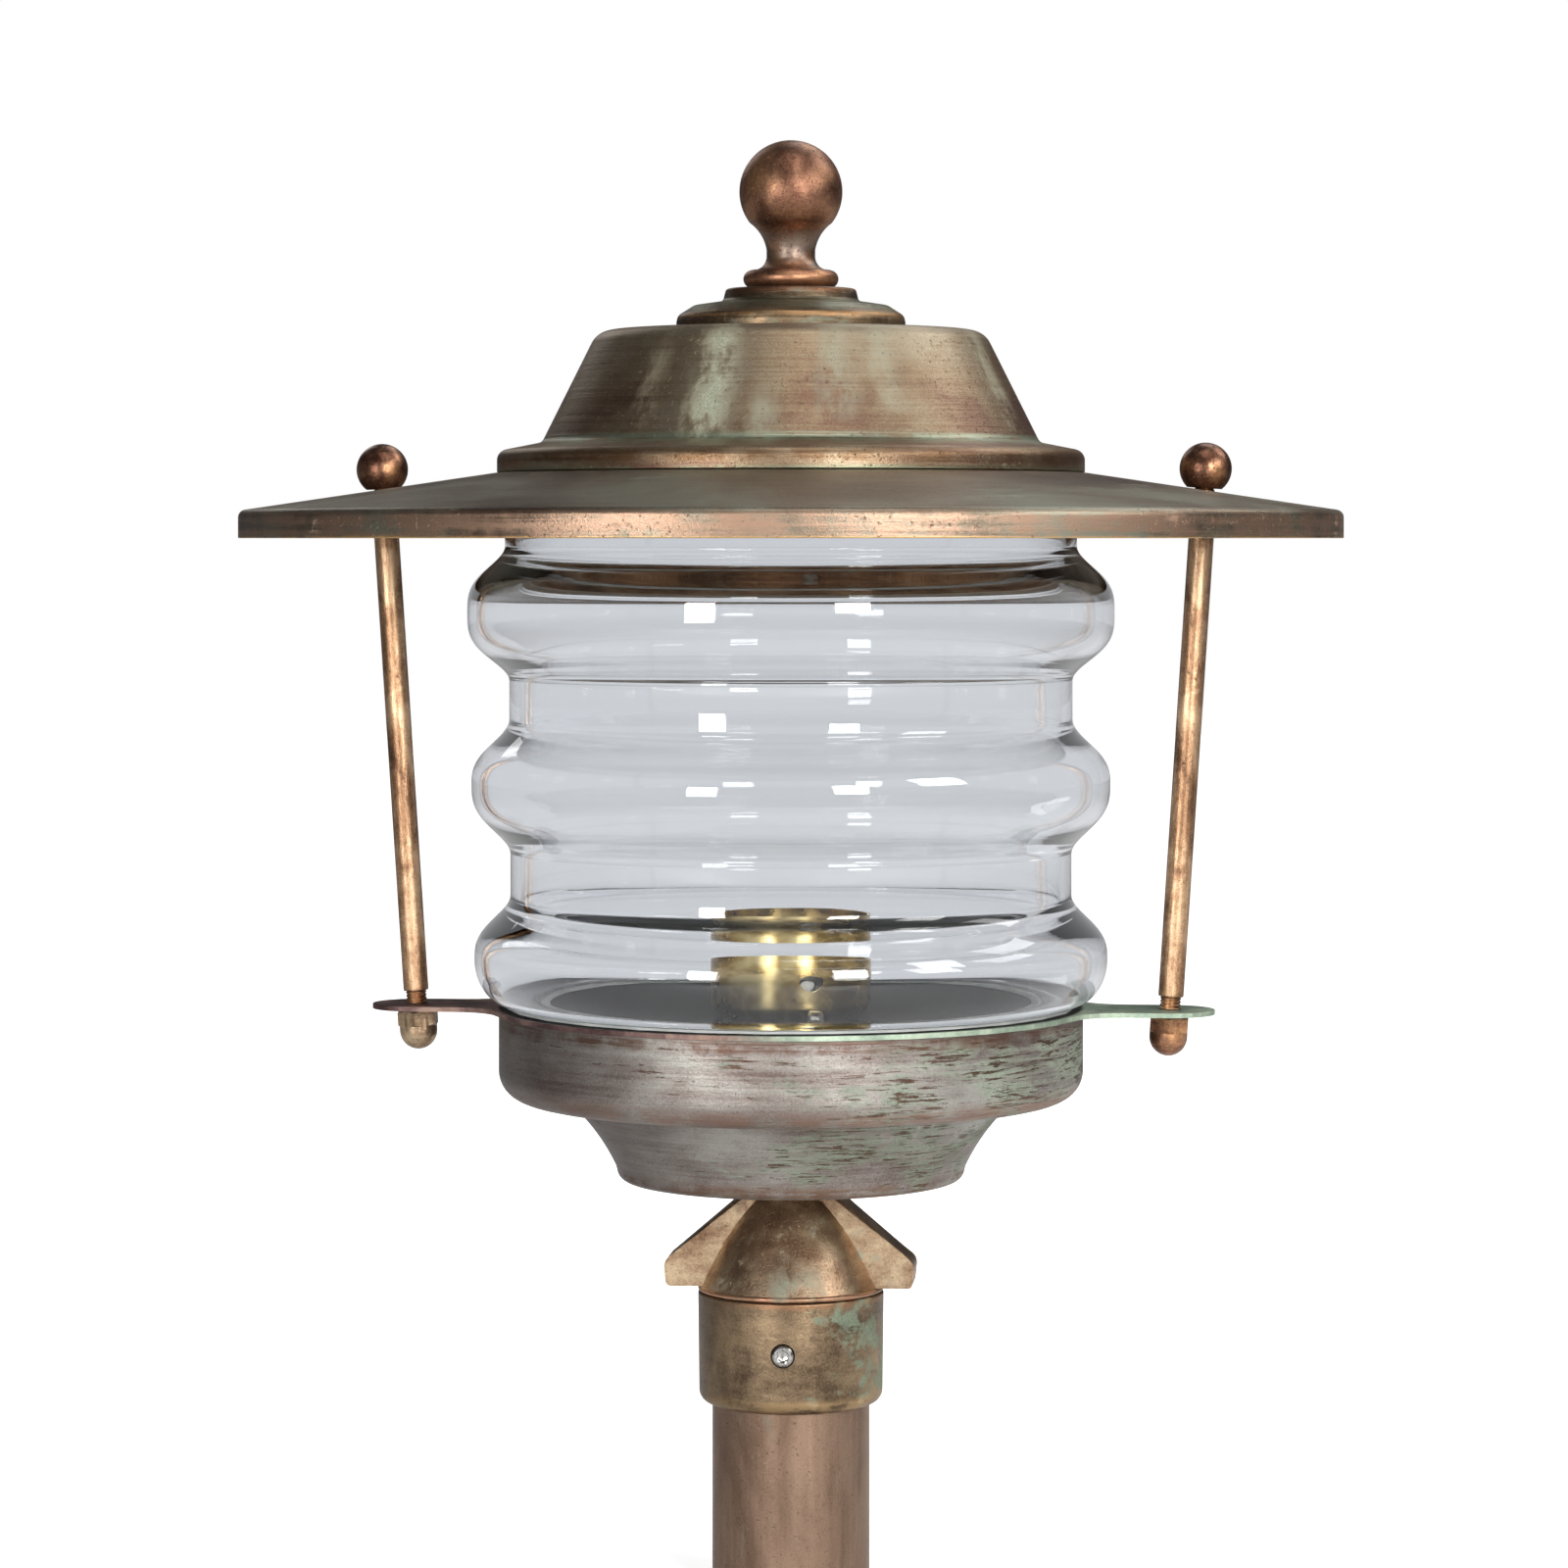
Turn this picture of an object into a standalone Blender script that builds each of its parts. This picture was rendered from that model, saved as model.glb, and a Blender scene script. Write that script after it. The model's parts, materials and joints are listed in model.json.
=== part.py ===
"""A post-top ship's lantern: a spun copper roof and dish with a ribbed glass between them, on a pole.

Metres, +Z up. The origin is the centre of the pole stub's lower end. The two tie rods are on +X and -X,
and the set screw faces -Y. A turned piece is a profile of (radius, height) points that runs down its
outer side, and heights in a profile are the lantern's own, from the origin.
"""

from math import atan2, ceil, cos, pi, radians, sin, sqrt, tan

import bmesh
import bpy
from mathutils import Matrix, Vector

GAP = 0.0003  # between two pieces that touch
SHEET = 0.0015  # spun copper

# Smoothness of round pieces
BRIM_SIDES = 48
LARGE_SIDES = 28
SMALL_SIDES = 20
TINY_SIDES = 12
ARC_STEP = radians(32)
CREASE = radians(35)

# Pole, collar and neck
POLE_RADIUS = 0.030
POLE_WALL = 0.003
POLE_TOP = 0.1039
COLLAR_RADIUS = 0.0355
COLLAR_TAPER = 0.0005
COLLAR_BORE = 0.0304
COLLAR_BOTTOM = 0.0705
COLLAR_TOP = 0.1128
COLLAR_ROUNDINGS = (0.0006, 0.004)  # top, bottom
NECK_BOTTOM = COLLAR_TOP + GAP
NECK_BEAD_HEIGHT = 0.002
NECK_TOP_RADIUS = 0.010
NECK_SAG = 0.0022
NECK_CEILING = 0.138
FIN_THICKNESS = 0.020
FIN_REACH = 0.0483
FIN_BOTTOM = 0.1152
FIN_SHOULDER = 0.1245
FIN_TOP_REACH = 0.012
FIN_FOOT_SET_BACK = 0.001
FIN_ROUNDINGS = (0.005, 0.002)  # shoulder, foot

# Set screw, M8 with a hexagon socket
SET_SCREW_HEIGHT = 0.0933
SET_SCREW_RADIUS = 0.004
SET_SCREW_LENGTH = 0.006
SET_SCREW_HOLE = 0.0046
SOCKET_FLATS = 0.004
SOCKET_DEPTH = 0.003

# Cup and dish
CUP_BOTTOM = 0.1555
CUP_TOP = 0.1862
CUP_TOP_RADIUS = 0.084
CUP_WAIST = (0.0668, 0.1610)
CUP_FOOT_RADIUS = 0.0655
CUP_FOOT_ROUNDING = 0.004
CUP_SAG = -0.0014
DISH_BOTTOM = CUP_TOP + GAP
DISH_RADIUS = 0.1115
DISH_TOP = 0.2192
DISH_CORNER = 0.011

# Plate with two lugs
PLATE_BOTTOM = DISH_TOP + GAP
PLATE_TOP = 0.2213
PLATE_RADIUS = 0.1135
LUG_CENTRE = 0.1445
LUG_RADIUS = 0.017
LUG_FILLET = 0.020
LUG_HOLE = 0.0044
LUG_STEPS = 6

# Threaded tubes and their nuts
NIPPLE_RADIUS = 0.005
NIPPLE_BORE = 0.0035
NIPPLE_HOLE = NIPPLE_RADIUS + GAP
NIPPLE_NUT_FLATS = 0.014
NIPPLE_NUT_HEIGHT = 0.005
LOWER_NIPPLE = (0.128, 0.200)  # heights of its ends
LAMP_NIPPLE = (0.213, 0.232)
GLAND_RADIUS = 0.009
GLAND_NOSE_RADIUS = 0.0062
GLAND_BORE = 0.0038
GLAND_HEIGHT = 0.0125

# Lamp cup and lampholder
LAMP_CUP_RADIUS = 0.0305
LAMP_CUP_WALL = 0.0012
LAMP_CUP_BOTTOM = PLATE_TOP + GAP
LAMP_CUP_TOP = 0.2558
SIDE_HOLE_RADIUS = 0.0048
SIDE_HOLE_HEIGHT = 0.234
SIDE_HOLE_ANGLE = radians(-70)
HOLDER_BOTTOM = 0.2288
HOLDER_FLOOR = 0.234
HOLDER_TOP = 0.250
HOLDER_RADIUS = 0.0215
HOLDER_BORE = 0.0143
SHELL_RADIUS = 0.0139
SHELL_WALL = 0.0006
SHELL_HEIGHTS = (0.2392, 0.2490)
CONTACT_WIDTH = 0.005
CONTACT_SHEET = 0.0008
HOLDER_SCREW_HEAD = (0.0036, 0.0028, 0.0026)  # radius, radius of its face, height
HOLDER_SCREW_RADIUS = 0.0018
HOLDER_SCREW_LENGTH = 0.008
GROMMET_PLACE = 0.017
GROMMET_HOLE = 0.004
GROMMET_FLANGE = 0.006
GROMMET_BORE = 0.0028
GROMMET_LIP = 0.0012
WIRE_RADIUS = 0.0011
WIRE_SPACING = 0.0013
BLOCK_SIZE = (0.030, 0.018, 0.014)
BLOCK_FRONT = 0.052
BLOCK_WIRE_PLACE = 0.009
BLOCK_WIRE_HEIGHT = 0.009
EARTH_WIRE_HEIGHT = 0.005
EARTH_PLACE = 0.0355
EARTH_SCREW = (0.003, 0.002, 0.0015)  # head radius, head height, shank radius
EARTH_SCREW_END = 0.2126
EARTH_NUT = (0.0055, 0.0024, 0.0018)  # flats, height, hole

# Pillars between dish and plate
PILLAR_CIRCLE = 0.070
PILLAR_ANGLES = (radians(30), radians(150), radians(270))
PILLAR_RADIUS = 0.004
PILLAR_BORE_DEPTH = 0.012
M4_RADIUS = 0.002
M4_HOLE = 0.0023
HEAD_ROUNDINGS = (0.0008, 0.0006)  # of a pan head, across and along
PILLAR_SCREW_HEAD = (0.0038, 0.0023)  # radius, height
PILLAR_SCREW_LENGTH = 0.010

# Tie rods: a rod leans from the lug out to the ball nut
ROD_RADIUS = 0.0048
ROD_TOP_REACH = 0.158
ROD_TOP_HEIGHT = 0.4264
ROD_LEAN = atan2(ROD_TOP_REACH - LUG_CENTRE, ROD_TOP_HEIGHT - PLATE_TOP)
ROD_LENGTH = (ROD_TOP_HEIGHT - PLATE_TOP) / cos(ROD_LEAN)
THREAD_RADIUS = 0.004
THREAD_HOLE = 0.0043
ROD_THREAD_END = -0.0135
ROD_SHOULDER = 0.0049
ROD_NUT_BOTTOM = 0.1865
ROD_NUT_FLATS = 0.013
ROD_NUT_HEIGHT = 0.0065
ROD_WASHER_RADIUS = 0.0085
ROD_END = ROD_LENGTH + 0.003
ROD_END_CHAMFER = (0.0006, 0.0008)
CAP_NUT_TOP = -0.0027
CAP_NUT_FLATS = 0.0143
CAP_NUT_HEX = 0.006
CAP_NUT_HEIGHT = 0.015
CAP_NUT_DOME = 0.0072
BALL_RADIUS = 0.0099
BALL_FLAT = 0.0074
BALL_BORE = 0.005

# Glass: heights of its ends, and its bulges from the top down as
# (peak height, peak radius, height above the peak, power above, height below the peak, power below)
GLASS_TOP = 0.412
GLASS_NECK = 0.1092
GLASS_FOOT = 0.108
GLASS_VALLEYS = (0.1075, 0.1071)
GLASS_BULGES = (
    (0.372, 0.1235, 0.025, 1.6, 0.026, 1.7),
    (0.307, 0.1219, 0.024, 1.34, 0.027, 1.53),
    (0.240, 0.1208, 0.024, 1.4, 0.0171, 2.0),
)
GLASS_WALL = 0.0045
GLASS_FOOT_WALL = 0.0050
INNER_CUT_ABOVE = 0.007  # the inner side's flanks are steeper than the outer ones
INNER_CUT_BELOW = 0.004
GLASS_STEPS = 4
LOWER_GASKET = (0.1085, 0.1025)  # outer and inner radius
UPPER_GASKET = (0.1100, 0.1030)
GASKET_HEIGHT = 0.001

# Roof
RIM_BOTTOM = 0.400
RIM_RADIUS = 0.210
RIM_TOP = 0.4105
RIM_ROUNDING = 0.003
BRIM_INNER = 0.088
BRIM_KNEE = 0.1132
BRIM_TOP = 0.4249
BRIM_HOLE = 0.00525
BRIM_HOLE_PLACE = 0.1575
CROWN_FOOT = BRIM_TOP + GAP
CROWN_RADIUS = 0.1122
CROWN_SHOULDER = 0.4332
CROWN_CONE_FOOT = (0.0951, 0.4366)
CROWN_CONE_HEAD = (0.0738, 0.4793)
CROWN_ROUNDINGS = (0.008, 0.003, 0.004)  # head, cone foot, shoulder
GALLERY_TOP = BRIM_TOP - SHEET - GAP
GALLERY_SKIRT = 0.1125
GALLERY_SKIRT_BOTTOM = 0.403
GALLERY_UPSTAND = 0.0995
ROOF_SCREW_CIRCLE = 0.093
ROOF_SCREW_ANGLES = (radians(90), radians(210), radians(330))
ROOF_SCREW_HEAD = (0.0034, 0.0024)  # radius, height
ROOF_SCREW_LENGTH = 0.0045
ROOF_NUT = (0.007, 0.0032)  # flats, height

# Finial and its boss
BOSS_BOTTOM = CROWN_CONE_HEAD[1] + GAP
BOSS_TOP = 0.4954
BOSS_STEP = (0.0248, 0.0262, 0.0047)  # top radius, foot radius, height
BOSS_DISC = (0.0372, 0.0436, 0.0065, 0.0105)  # radii and depths of its sloping shoulder
BOSS_RADIUS = 0.0438
BOSS_ROUNDINGS = (0.0012, 0.003)  # step, disc
FINIAL_BOTTOM = BOSS_TOP + GAP
FINIAL_BEAD = 0.0034
FINIAL_FOOT_RADIUS = 0.0182
FINIAL_WAIST = 0.0093
FINIAL_WAIST_HEIGHTS = (0.5072, 0.5103)
FINIAL_BALL_HEIGHT = 0.5325
FINIAL_BALL_RADIUS = 0.0197
FINIAL_BALL_END = -radians(36)
FINIAL_BORE_TOP = 0.512
FINIAL_SAGS = (-0.0009, -0.0012)  # upper cove, lower cove
STUD_DEPTH = 0.0125
CROWN_WASHER_RADIUS = 0.010

# Looks: base colour, roughness, metallic, transmission
COPPER_PATINA = ((0.22, 0.19, 0.14), 0.55, 0.85, 0.0)
GREEN_PATINA = ((0.25, 0.26, 0.20), 0.65, 0.60, 0.0)
BRONZE = ((0.22, 0.16, 0.09), 0.50, 0.90, 0.0)
COPPER = ((0.26, 0.11, 0.05), 0.38, 0.95, 0.0)
BRASS = ((0.38, 0.24, 0.09), 0.40, 0.95, 0.0)
CUP_BRASS = ((0.48, 0.34, 0.10), 0.35, 1.0, 0.0)
STEEL = ((0.55, 0.55, 0.53), 0.35, 1.0, 0.0)
GLASS = ((0.93, 0.96, 0.96), 0.02, 0.0, 1.0)
PORCELAIN = ((0.80, 0.79, 0.74), 0.25, 0.0, 0.0)
SILICONE = ((0.75, 0.76, 0.74), 0.60, 0.0, 0.2)
NYLON = ((0.03, 0.03, 0.03), 0.55, 0.0, 0.0)
BROWN_WIRE = ((0.10, 0.04, 0.02), 0.50, 0.0, 0.0)
BLUE_WIRE = ((0.03, 0.10, 0.35), 0.50, 0.0, 0.0)
GREEN_WIRE = ((0.10, 0.30, 0.05), 0.50, 0.0, 0.0)


# ---------------------------------------------------------------- scene and helpers


def clear_scene():
    for obj in list(bpy.data.objects):
        bpy.data.objects.remove(obj, do_unlink=True)


def new_collection(name):
    collection = bpy.data.collections.new(name)
    bpy.context.scene.collection.children.link(collection)
    return collection


def material(name, look):
    colour, roughness, metallic, transmission = look
    made = bpy.data.materials.new(name)
    made.use_nodes = True
    shader = made.node_tree.nodes["Principled BSDF"]
    shader.inputs["Base Color"].default_value = (*colour, 1)
    shader.inputs["Roughness"].default_value = roughness
    shader.inputs["Metallic"].default_value = metallic
    shader.inputs["Transmission Weight"].default_value = transmission
    return made


def empty(name, parent=None, location=(0, 0, 0), lean=0.0):
    made = bpy.data.objects.new(name, None)
    made.parent = parent
    made.location = location
    made.rotation_euler.y = lean
    LANTERN.objects.link(made)
    return made


def piece(name, data, look, parent, location=(0, 0, 0), rotation=(0, 0, 0)):
    """A named object of the lantern, with a material of its own."""
    made = bpy.data.objects.new(name, data)
    made.parent = parent
    made.location = location
    made.rotation_euler = rotation
    data.materials.append(material(name, look))
    LANTERN.objects.link(made)
    return made


def smooth(mesh):
    mesh.shade_smooth()
    mesh.set_sharp_from_angle(angle=CREASE)


def around(radius, angle):
    return (radius * cos(angle), radius * sin(angle))


def rounded(corners):
    """A polyline through (radius, height, rounding) corners, with an arc at each rounded one."""
    points = []
    for i, (r, z, rounding) in enumerate(corners):
        here = Vector((r, z))
        if rounding == 0:
            points.append(here)
            continue
        before = (Vector(corners[i - 1][:2]) - here).normalized()
        after = (Vector(corners[i + 1][:2]) - here).normalized()
        half = before.angle(after) / 2
        centre = here + (before + after).normalized() * (rounding / sin(half))
        start = here + before * (rounding / tan(half)) - centre
        end = here + after * (rounding / tan(half)) - centre
        first = atan2(start.y, start.x)
        sweep = (atan2(end.y, end.x) - first + pi) % (2 * pi) - pi
        steps = max(2, ceil(abs(sweep) / ARC_STEP))
        for k in range(steps + 1):
            angle = first + sweep * k / steps
            points.append(centre + rounding * Vector((cos(angle), sin(angle))))
    return points


def bowed(start, end, sag, steps):
    """Points from start to end on a shallow curve. A positive sag bows it out, to the left of its way."""
    start = Vector(start)
    end = Vector(end)
    way = (end - start).normalized()
    left = Vector((-way.y, way.x))
    points = []
    for k in range(steps + 1):
        t = k / steps
        points.append(start.lerp(end, t) + left * (4 * sag * t * (1 - t)))
    return points


def arc(centre, radius, first, last, steps):
    """Points on an arc round a centre (radius, height), between two angles."""
    points = []
    for k in range(steps + 1):
        x, z = around(radius, first + (last - first) * k / steps)
        points.append((centre[0] + x, centre[1] + z))
    return points


def turned(name, points, look, parent, sides=LARGE_SIDES, sheet=0.0):
    """A profile of (radius, height) points, swept round Z by a Screw modifier.

    With a sheet thickness the profile is the outside of an open shell. Without one it is a closed
    outline, or a line from axis to axis.
    """
    base = min(point[1] for point in points)
    mesh = bpy.data.meshes.new(name)
    build = bmesh.new()
    verts = [build.verts.new((point[0], 0, point[1] - base)) for point in points]
    for a, b in zip(verts, verts[1:]):
        build.edges.new((a, b))
    on_axis = points[0][0] == 0 and points[-1][0] == 0
    if not sheet and not on_axis:
        build.edges.new((verts[-1], verts[0]))
    build.to_mesh(mesh)
    build.free()
    made = piece(name, mesh, look, parent, location=(0, 0, base))
    screw = made.modifiers.new("Turn", "SCREW")
    screw.steps = sides
    screw.render_steps = sides
    screw.use_merge_vertices = True
    screw.merge_threshold = 0.00001
    screw.use_smooth_shade = True
    if sheet:
        shell = made.modifiers.new("Sheet", "SOLIDIFY")
        shell.thickness = sheet
        shell.offset = -1
        shell.use_even_offset = True
    return made


def ring(name, outer, inner, bottom, top, look, parent, sides=LARGE_SIDES):
    points = [(outer, top), (outer, bottom), (inner, bottom), (inner, top)]
    return turned(name, points, look, parent, sides)


def polygon(sides, radius, centre=(0, 0), turn=0.0):
    step = 2 * pi / sides
    points = []
    for k in range(sides):
        angle = turn + k * step
        points.append((centre[0] + radius * cos(angle), centre[1] + radius * sin(angle)))
    return points


def flat_curve(name, outlines, thickness):
    """A filled 2D curve: the first outline is the edge, and the others are holes."""
    data = bpy.data.curves.new(name, "CURVE")
    data.dimensions = "2D"
    data.fill_mode = "BOTH"
    data.extrude = thickness / 2
    for outline in outlines:
        spline = data.splines.new("POLY")
        spline.points.add(len(outline) - 1)
        for point, (x, y) in zip(spline.points, outline):
            point.co = (x, y, 0, 1)
        spline.use_cyclic_u = True
    return data


def flat(name, outlines, bottom, top, look, parent):
    """A level plate between two heights."""
    data = flat_curve(name, outlines, top - bottom)
    return piece(name, data, look, parent, location=(0, 0, (bottom + top) / 2))


def hex_nut(name, flats, height, hole, bottom, look, parent, at=(0, 0)):
    outlines = [polygon(6, flats / sqrt(3)), polygon(TINY_SIDES, hole)]
    made = flat(name, outlines, bottom, bottom + height, look, parent)
    made.location.x, made.location.y = at
    return made


def as_mesh(obj):
    """Replaces a curve object with the same shape as a closed mesh."""
    bpy.context.view_layer.update()
    graph = bpy.context.evaluated_depsgraph_get()
    mesh = bpy.data.meshes.new_from_object(obj.evaluated_get(graph))
    build = bmesh.new()
    build.from_mesh(mesh)
    bmesh.ops.remove_doubles(build, verts=build.verts, dist=0.000001)
    build.to_mesh(mesh)
    build.free()
    made = bpy.data.objects.new(obj.name, mesh)
    made.matrix_world = obj.matrix_world
    for collection in obj.users_collection:
        collection.objects.link(made)
    bpy.data.objects.remove(obj)
    return made


def cylinder_mesh(name, radius, length, sides=TINY_SIDES, turn=0.0):
    mesh = bpy.data.meshes.new(name)
    build = bmesh.new()
    bmesh.ops.create_cone(
        build,
        cap_ends=True,
        segments=sides,
        radius1=radius,
        radius2=radius,
        depth=length,
        matrix=Matrix.Rotation(turn, 4, "Z"),
    )
    build.to_mesh(mesh)
    build.free()
    return mesh


def as_cutter(obj):
    obj.hide_render = True
    obj.display_type = "WIRE"
    return obj


def cutter(name, mesh, location, rotation=(0, 0, 0), parent=None):
    made = bpy.data.objects.new(name, mesh)
    made.parent = parent
    made.location = location
    made.rotation_euler = rotation
    CUTTERS.objects.link(made)
    return as_cutter(made)


def boolean(obj, other, operation="DIFFERENCE"):
    added = obj.modifiers.new(operation.title() + " " + other.name, "BOOLEAN")
    added.operation = operation
    added.solver = "EXACT"
    added.object = other


def drill(obj, radius, bottom, top, at, sides=TINY_SIDES):
    """A vertical hole at a place (x, y) between two heights."""
    mesh = cylinder_mesh(obj.name + " drill", radius, top - bottom, sides)
    tool = cutter(obj.name + " drill", mesh, (at[0], at[1], (bottom + top) / 2))
    boolean(obj, tool)


# ---------------------------------------------------------------- pole, collar, neck


def make_pole():
    inner = POLE_RADIUS - POLE_WALL
    ring("pole_tube", POLE_RADIUS, inner, 0, POLE_TOP, BRONZE, None)


def make_collar():
    low = COLLAR_RADIUS - COLLAR_TAPER
    outline = rounded(
        [
            (COLLAR_BORE, COLLAR_TOP, 0),
            (COLLAR_RADIUS, COLLAR_TOP, COLLAR_ROUNDINGS[0]),
            (low, COLLAR_BOTTOM, COLLAR_ROUNDINGS[1]),
            (COLLAR_BORE, COLLAR_BOTTOM, 0),
        ]
    )
    collar = turned("post_collar", outline, BRONZE, HEAD)
    mesh = cylinder_mesh("screw hole", SET_SCREW_HOLE, 2 * (COLLAR_RADIUS - COLLAR_BORE), SMALL_SIDES)
    place = (0, -(COLLAR_RADIUS + COLLAR_BORE) / 2, SET_SCREW_HEIGHT)
    boolean(collar, cutter("screw hole", mesh, place, (pi / 2, 0, 0)))


def make_neck():
    """A hollow cone with a spigot in the collar, and two fins in one piece with it."""
    spigot = COLLAR_BORE - GAP
    inner = POLE_RADIUS - POLE_WALL
    top = CUP_BOTTOM - GAP
    bead = NECK_BEAD_HEIGHT / 2
    edge = COLLAR_RADIUS - bead
    cone = bowed((NECK_TOP_RADIUS, top), (edge, NECK_BOTTOM + NECK_BEAD_HEIGHT), NECK_SAG, 6)
    outline = [(NIPPLE_HOLE, top), *cone]
    outline += arc((edge, NECK_BOTTOM + bead), bead, pi / 2, -pi / 2, 4)[1:]
    outline += [(spigot, NECK_BOTTOM), (spigot, POLE_TOP + GAP)]
    outline += [(inner, POLE_TOP + GAP), (inner, FIN_BOTTOM)]
    outline += [(NECK_TOP_RADIUS, NECK_CEILING), (NIPPLE_HOLE, NECK_CEILING)]
    neck = turned("neck_casting", outline, BRONZE, HEAD)

    right = rounded(
        [
            (FIN_TOP_REACH, top, 0),
            (FIN_REACH, FIN_SHOULDER, FIN_ROUNDINGS[0]),
            (FIN_REACH - FIN_FOOT_SET_BACK, FIN_BOTTOM, FIN_ROUNDINGS[1]),
            (0, FIN_BOTTOM, 0),
        ]
    )
    edge = [(p.x, p.y) for p in right[:-1]]
    edge += [(-x, z) for x, z in reversed(edge)]
    data = flat_curve("fins", [edge], FIN_THICKNESS)
    fins = bpy.data.objects.new("fins", data)
    fins.rotation_euler.x = pi / 2
    CUTTERS.objects.link(fins)
    fins = as_cutter(as_mesh(fins))
    boolean(neck, fins, "UNION")

    bore = [
        (0, top + 0.001),
        (NIPPLE_HOLE, top + 0.001),
        (NIPPLE_HOLE, NECK_CEILING),
        (NECK_TOP_RADIUS, NECK_CEILING),
        (inner, FIN_BOTTOM),
        (inner, FIN_BOTTOM - 0.001),
        (0, FIN_BOTTOM - 0.001),
    ]
    tool = turned("neck bore", bore, BRONZE, None)
    LANTERN.objects.unlink(tool)
    CUTTERS.objects.link(tool)
    boolean(neck, as_cutter(tool))


def make_set_screw():
    mesh = cylinder_mesh("set_screw", SET_SCREW_RADIUS, SET_SCREW_LENGTH, SMALL_SIDES)
    smooth(mesh)
    place = -(POLE_RADIUS + GAP + SET_SCREW_LENGTH / 2)
    screw = piece("set_screw", mesh, STEEL, HEAD, (0, place, SET_SCREW_HEIGHT), (pi / 2, 0, 0))
    hexagon = cylinder_mesh("socket", SOCKET_FLATS / sqrt(3), 2 * SOCKET_DEPTH, 6)
    tool = cutter("socket", hexagon, (0, 0, SET_SCREW_LENGTH / 2), parent=screw)
    boolean(screw, tool)


# ---------------------------------------------------------------- dish, cup, plate


def make_lower_cup():
    """A flared cup. Its top edge is upright, so that the sheet's inner side ends level with it."""
    flare = bowed((CUP_TOP_RADIUS, CUP_TOP - SHEET), CUP_WAIST, CUP_SAG, 4)
    foot = (CUP_FOOT_RADIUS, CUP_BOTTOM, CUP_FOOT_ROUNDING)
    corner = rounded([(*CUP_WAIST, 0), foot, (NIPPLE_HOLE, CUP_BOTTOM, 0)])
    outline = [(CUP_TOP_RADIUS, CUP_TOP), *flare, *corner[1:]]
    turned("lower_cup", outline, GREEN_PATINA, HEAD, sheet=SHEET)


def make_dish():
    outline = rounded(
        [
            (DISH_RADIUS, DISH_TOP, 0),
            (DISH_RADIUS, DISH_BOTTOM, DISH_CORNER),
            (NIPPLE_HOLE, DISH_BOTTOM, 0),
        ]
    )
    dish = turned("base_dish", outline, GREEN_PATINA, HEAD, sheet=SHEET)
    for angle in PILLAR_ANGLES:
        place = around(PILLAR_CIRCLE, angle)
        drill(dish, M4_HOLE, DISH_BOTTOM - SHEET, DISH_BOTTOM + 2 * SHEET, place)


def lug_outline():
    """The disc with a lug on each side, each joined to the disc by two fillets."""
    reach = PLATE_RADIUS + LUG_FILLET
    rise = LUG_RADIUS + LUG_FILLET
    centre_x = sqrt(reach**2 - rise**2)
    meet = atan2(rise, centre_x)
    quarter = arc((LUG_CENTRE, 0), LUG_RADIUS, 0, pi / 2, LUG_STEPS)
    quarter += arc((centre_x, rise), LUG_FILLET, -pi / 2, meet - pi, LUG_STEPS - 1)
    quarter += arc((0, 0), PLATE_RADIUS, meet, pi / 2, LUG_STEPS + 2)[1:-1]
    left = [(-x, y) for x, y in reversed(quarter)]
    top = quarter + [(0, PLATE_RADIUS)] + left
    return top + [(x, -y) for x, y in reversed(top[1:-1])]


def make_lug_plate():
    holes = [
        polygon(TINY_SIDES, NIPPLE_HOLE),
        polygon(TINY_SIDES, GROMMET_HOLE, (0, GROMMET_PLACE)),
        polygon(TINY_SIDES, M4_HOLE, around(EARTH_PLACE, SIDE_HOLE_ANGLE)),
        polygon(TINY_SIDES, LUG_HOLE, (LUG_CENTRE, 0)),
        polygon(TINY_SIDES, LUG_HOLE, (-LUG_CENTRE, 0)),
    ]
    outlines = [lug_outline(), *holes]
    flat("lug_plate", outlines, PLATE_BOTTOM, PLATE_TOP, GREEN_PATINA, HEAD)


def pan_screw(name, head_low, head_high, head_radius, end, shank, at, parent):
    """A pan-head screw on a vertical axis. Its end is above the head or below it."""
    across, along = HEAD_ROUNDINGS
    face = head_radius - across
    if end > head_high:
        points = [(0, end), (shank, end), (shank, head_high), (head_radius, head_high)]
        points += [(head_radius, head_low + along), (face, head_low), (0, head_low)]
    else:
        points = [(0, head_high), (face, head_high), (head_radius, head_high - along)]
        points += [(head_radius, head_low)]
        points += [(shank, head_low), (shank, end), (0, end)]
    made = turned(name, points, STEEL, parent, TINY_SIDES)
    made.location.x, made.location.y = at


def make_pillars():
    bottom = DISH_BOTTOM + SHEET + GAP
    bore_top = bottom + PILLAR_BORE_DEPTH
    top = DISH_BOTTOM - GAP
    head_radius, head_height = PILLAR_SCREW_HEAD
    end = bottom + PILLAR_SCREW_LENGTH
    for number, angle in enumerate(PILLAR_ANGLES, 1):
        points = [(0, DISH_TOP), (PILLAR_RADIUS, DISH_TOP), (PILLAR_RADIUS, bottom)]
        points += [(M4_HOLE, bottom), (M4_HOLE, bore_top), (0, bore_top)]
        place = around(PILLAR_CIRCLE, angle)
        pillar = turned(f"dish_pillar_{number}", points, STEEL, HEAD, TINY_SIDES)
        pillar.location.x, pillar.location.y = place
        name = f"pillar_screw_{number}"
        pan_screw(name, top - head_height, top, head_radius, end, M4_RADIUS, place, HEAD)


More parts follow.
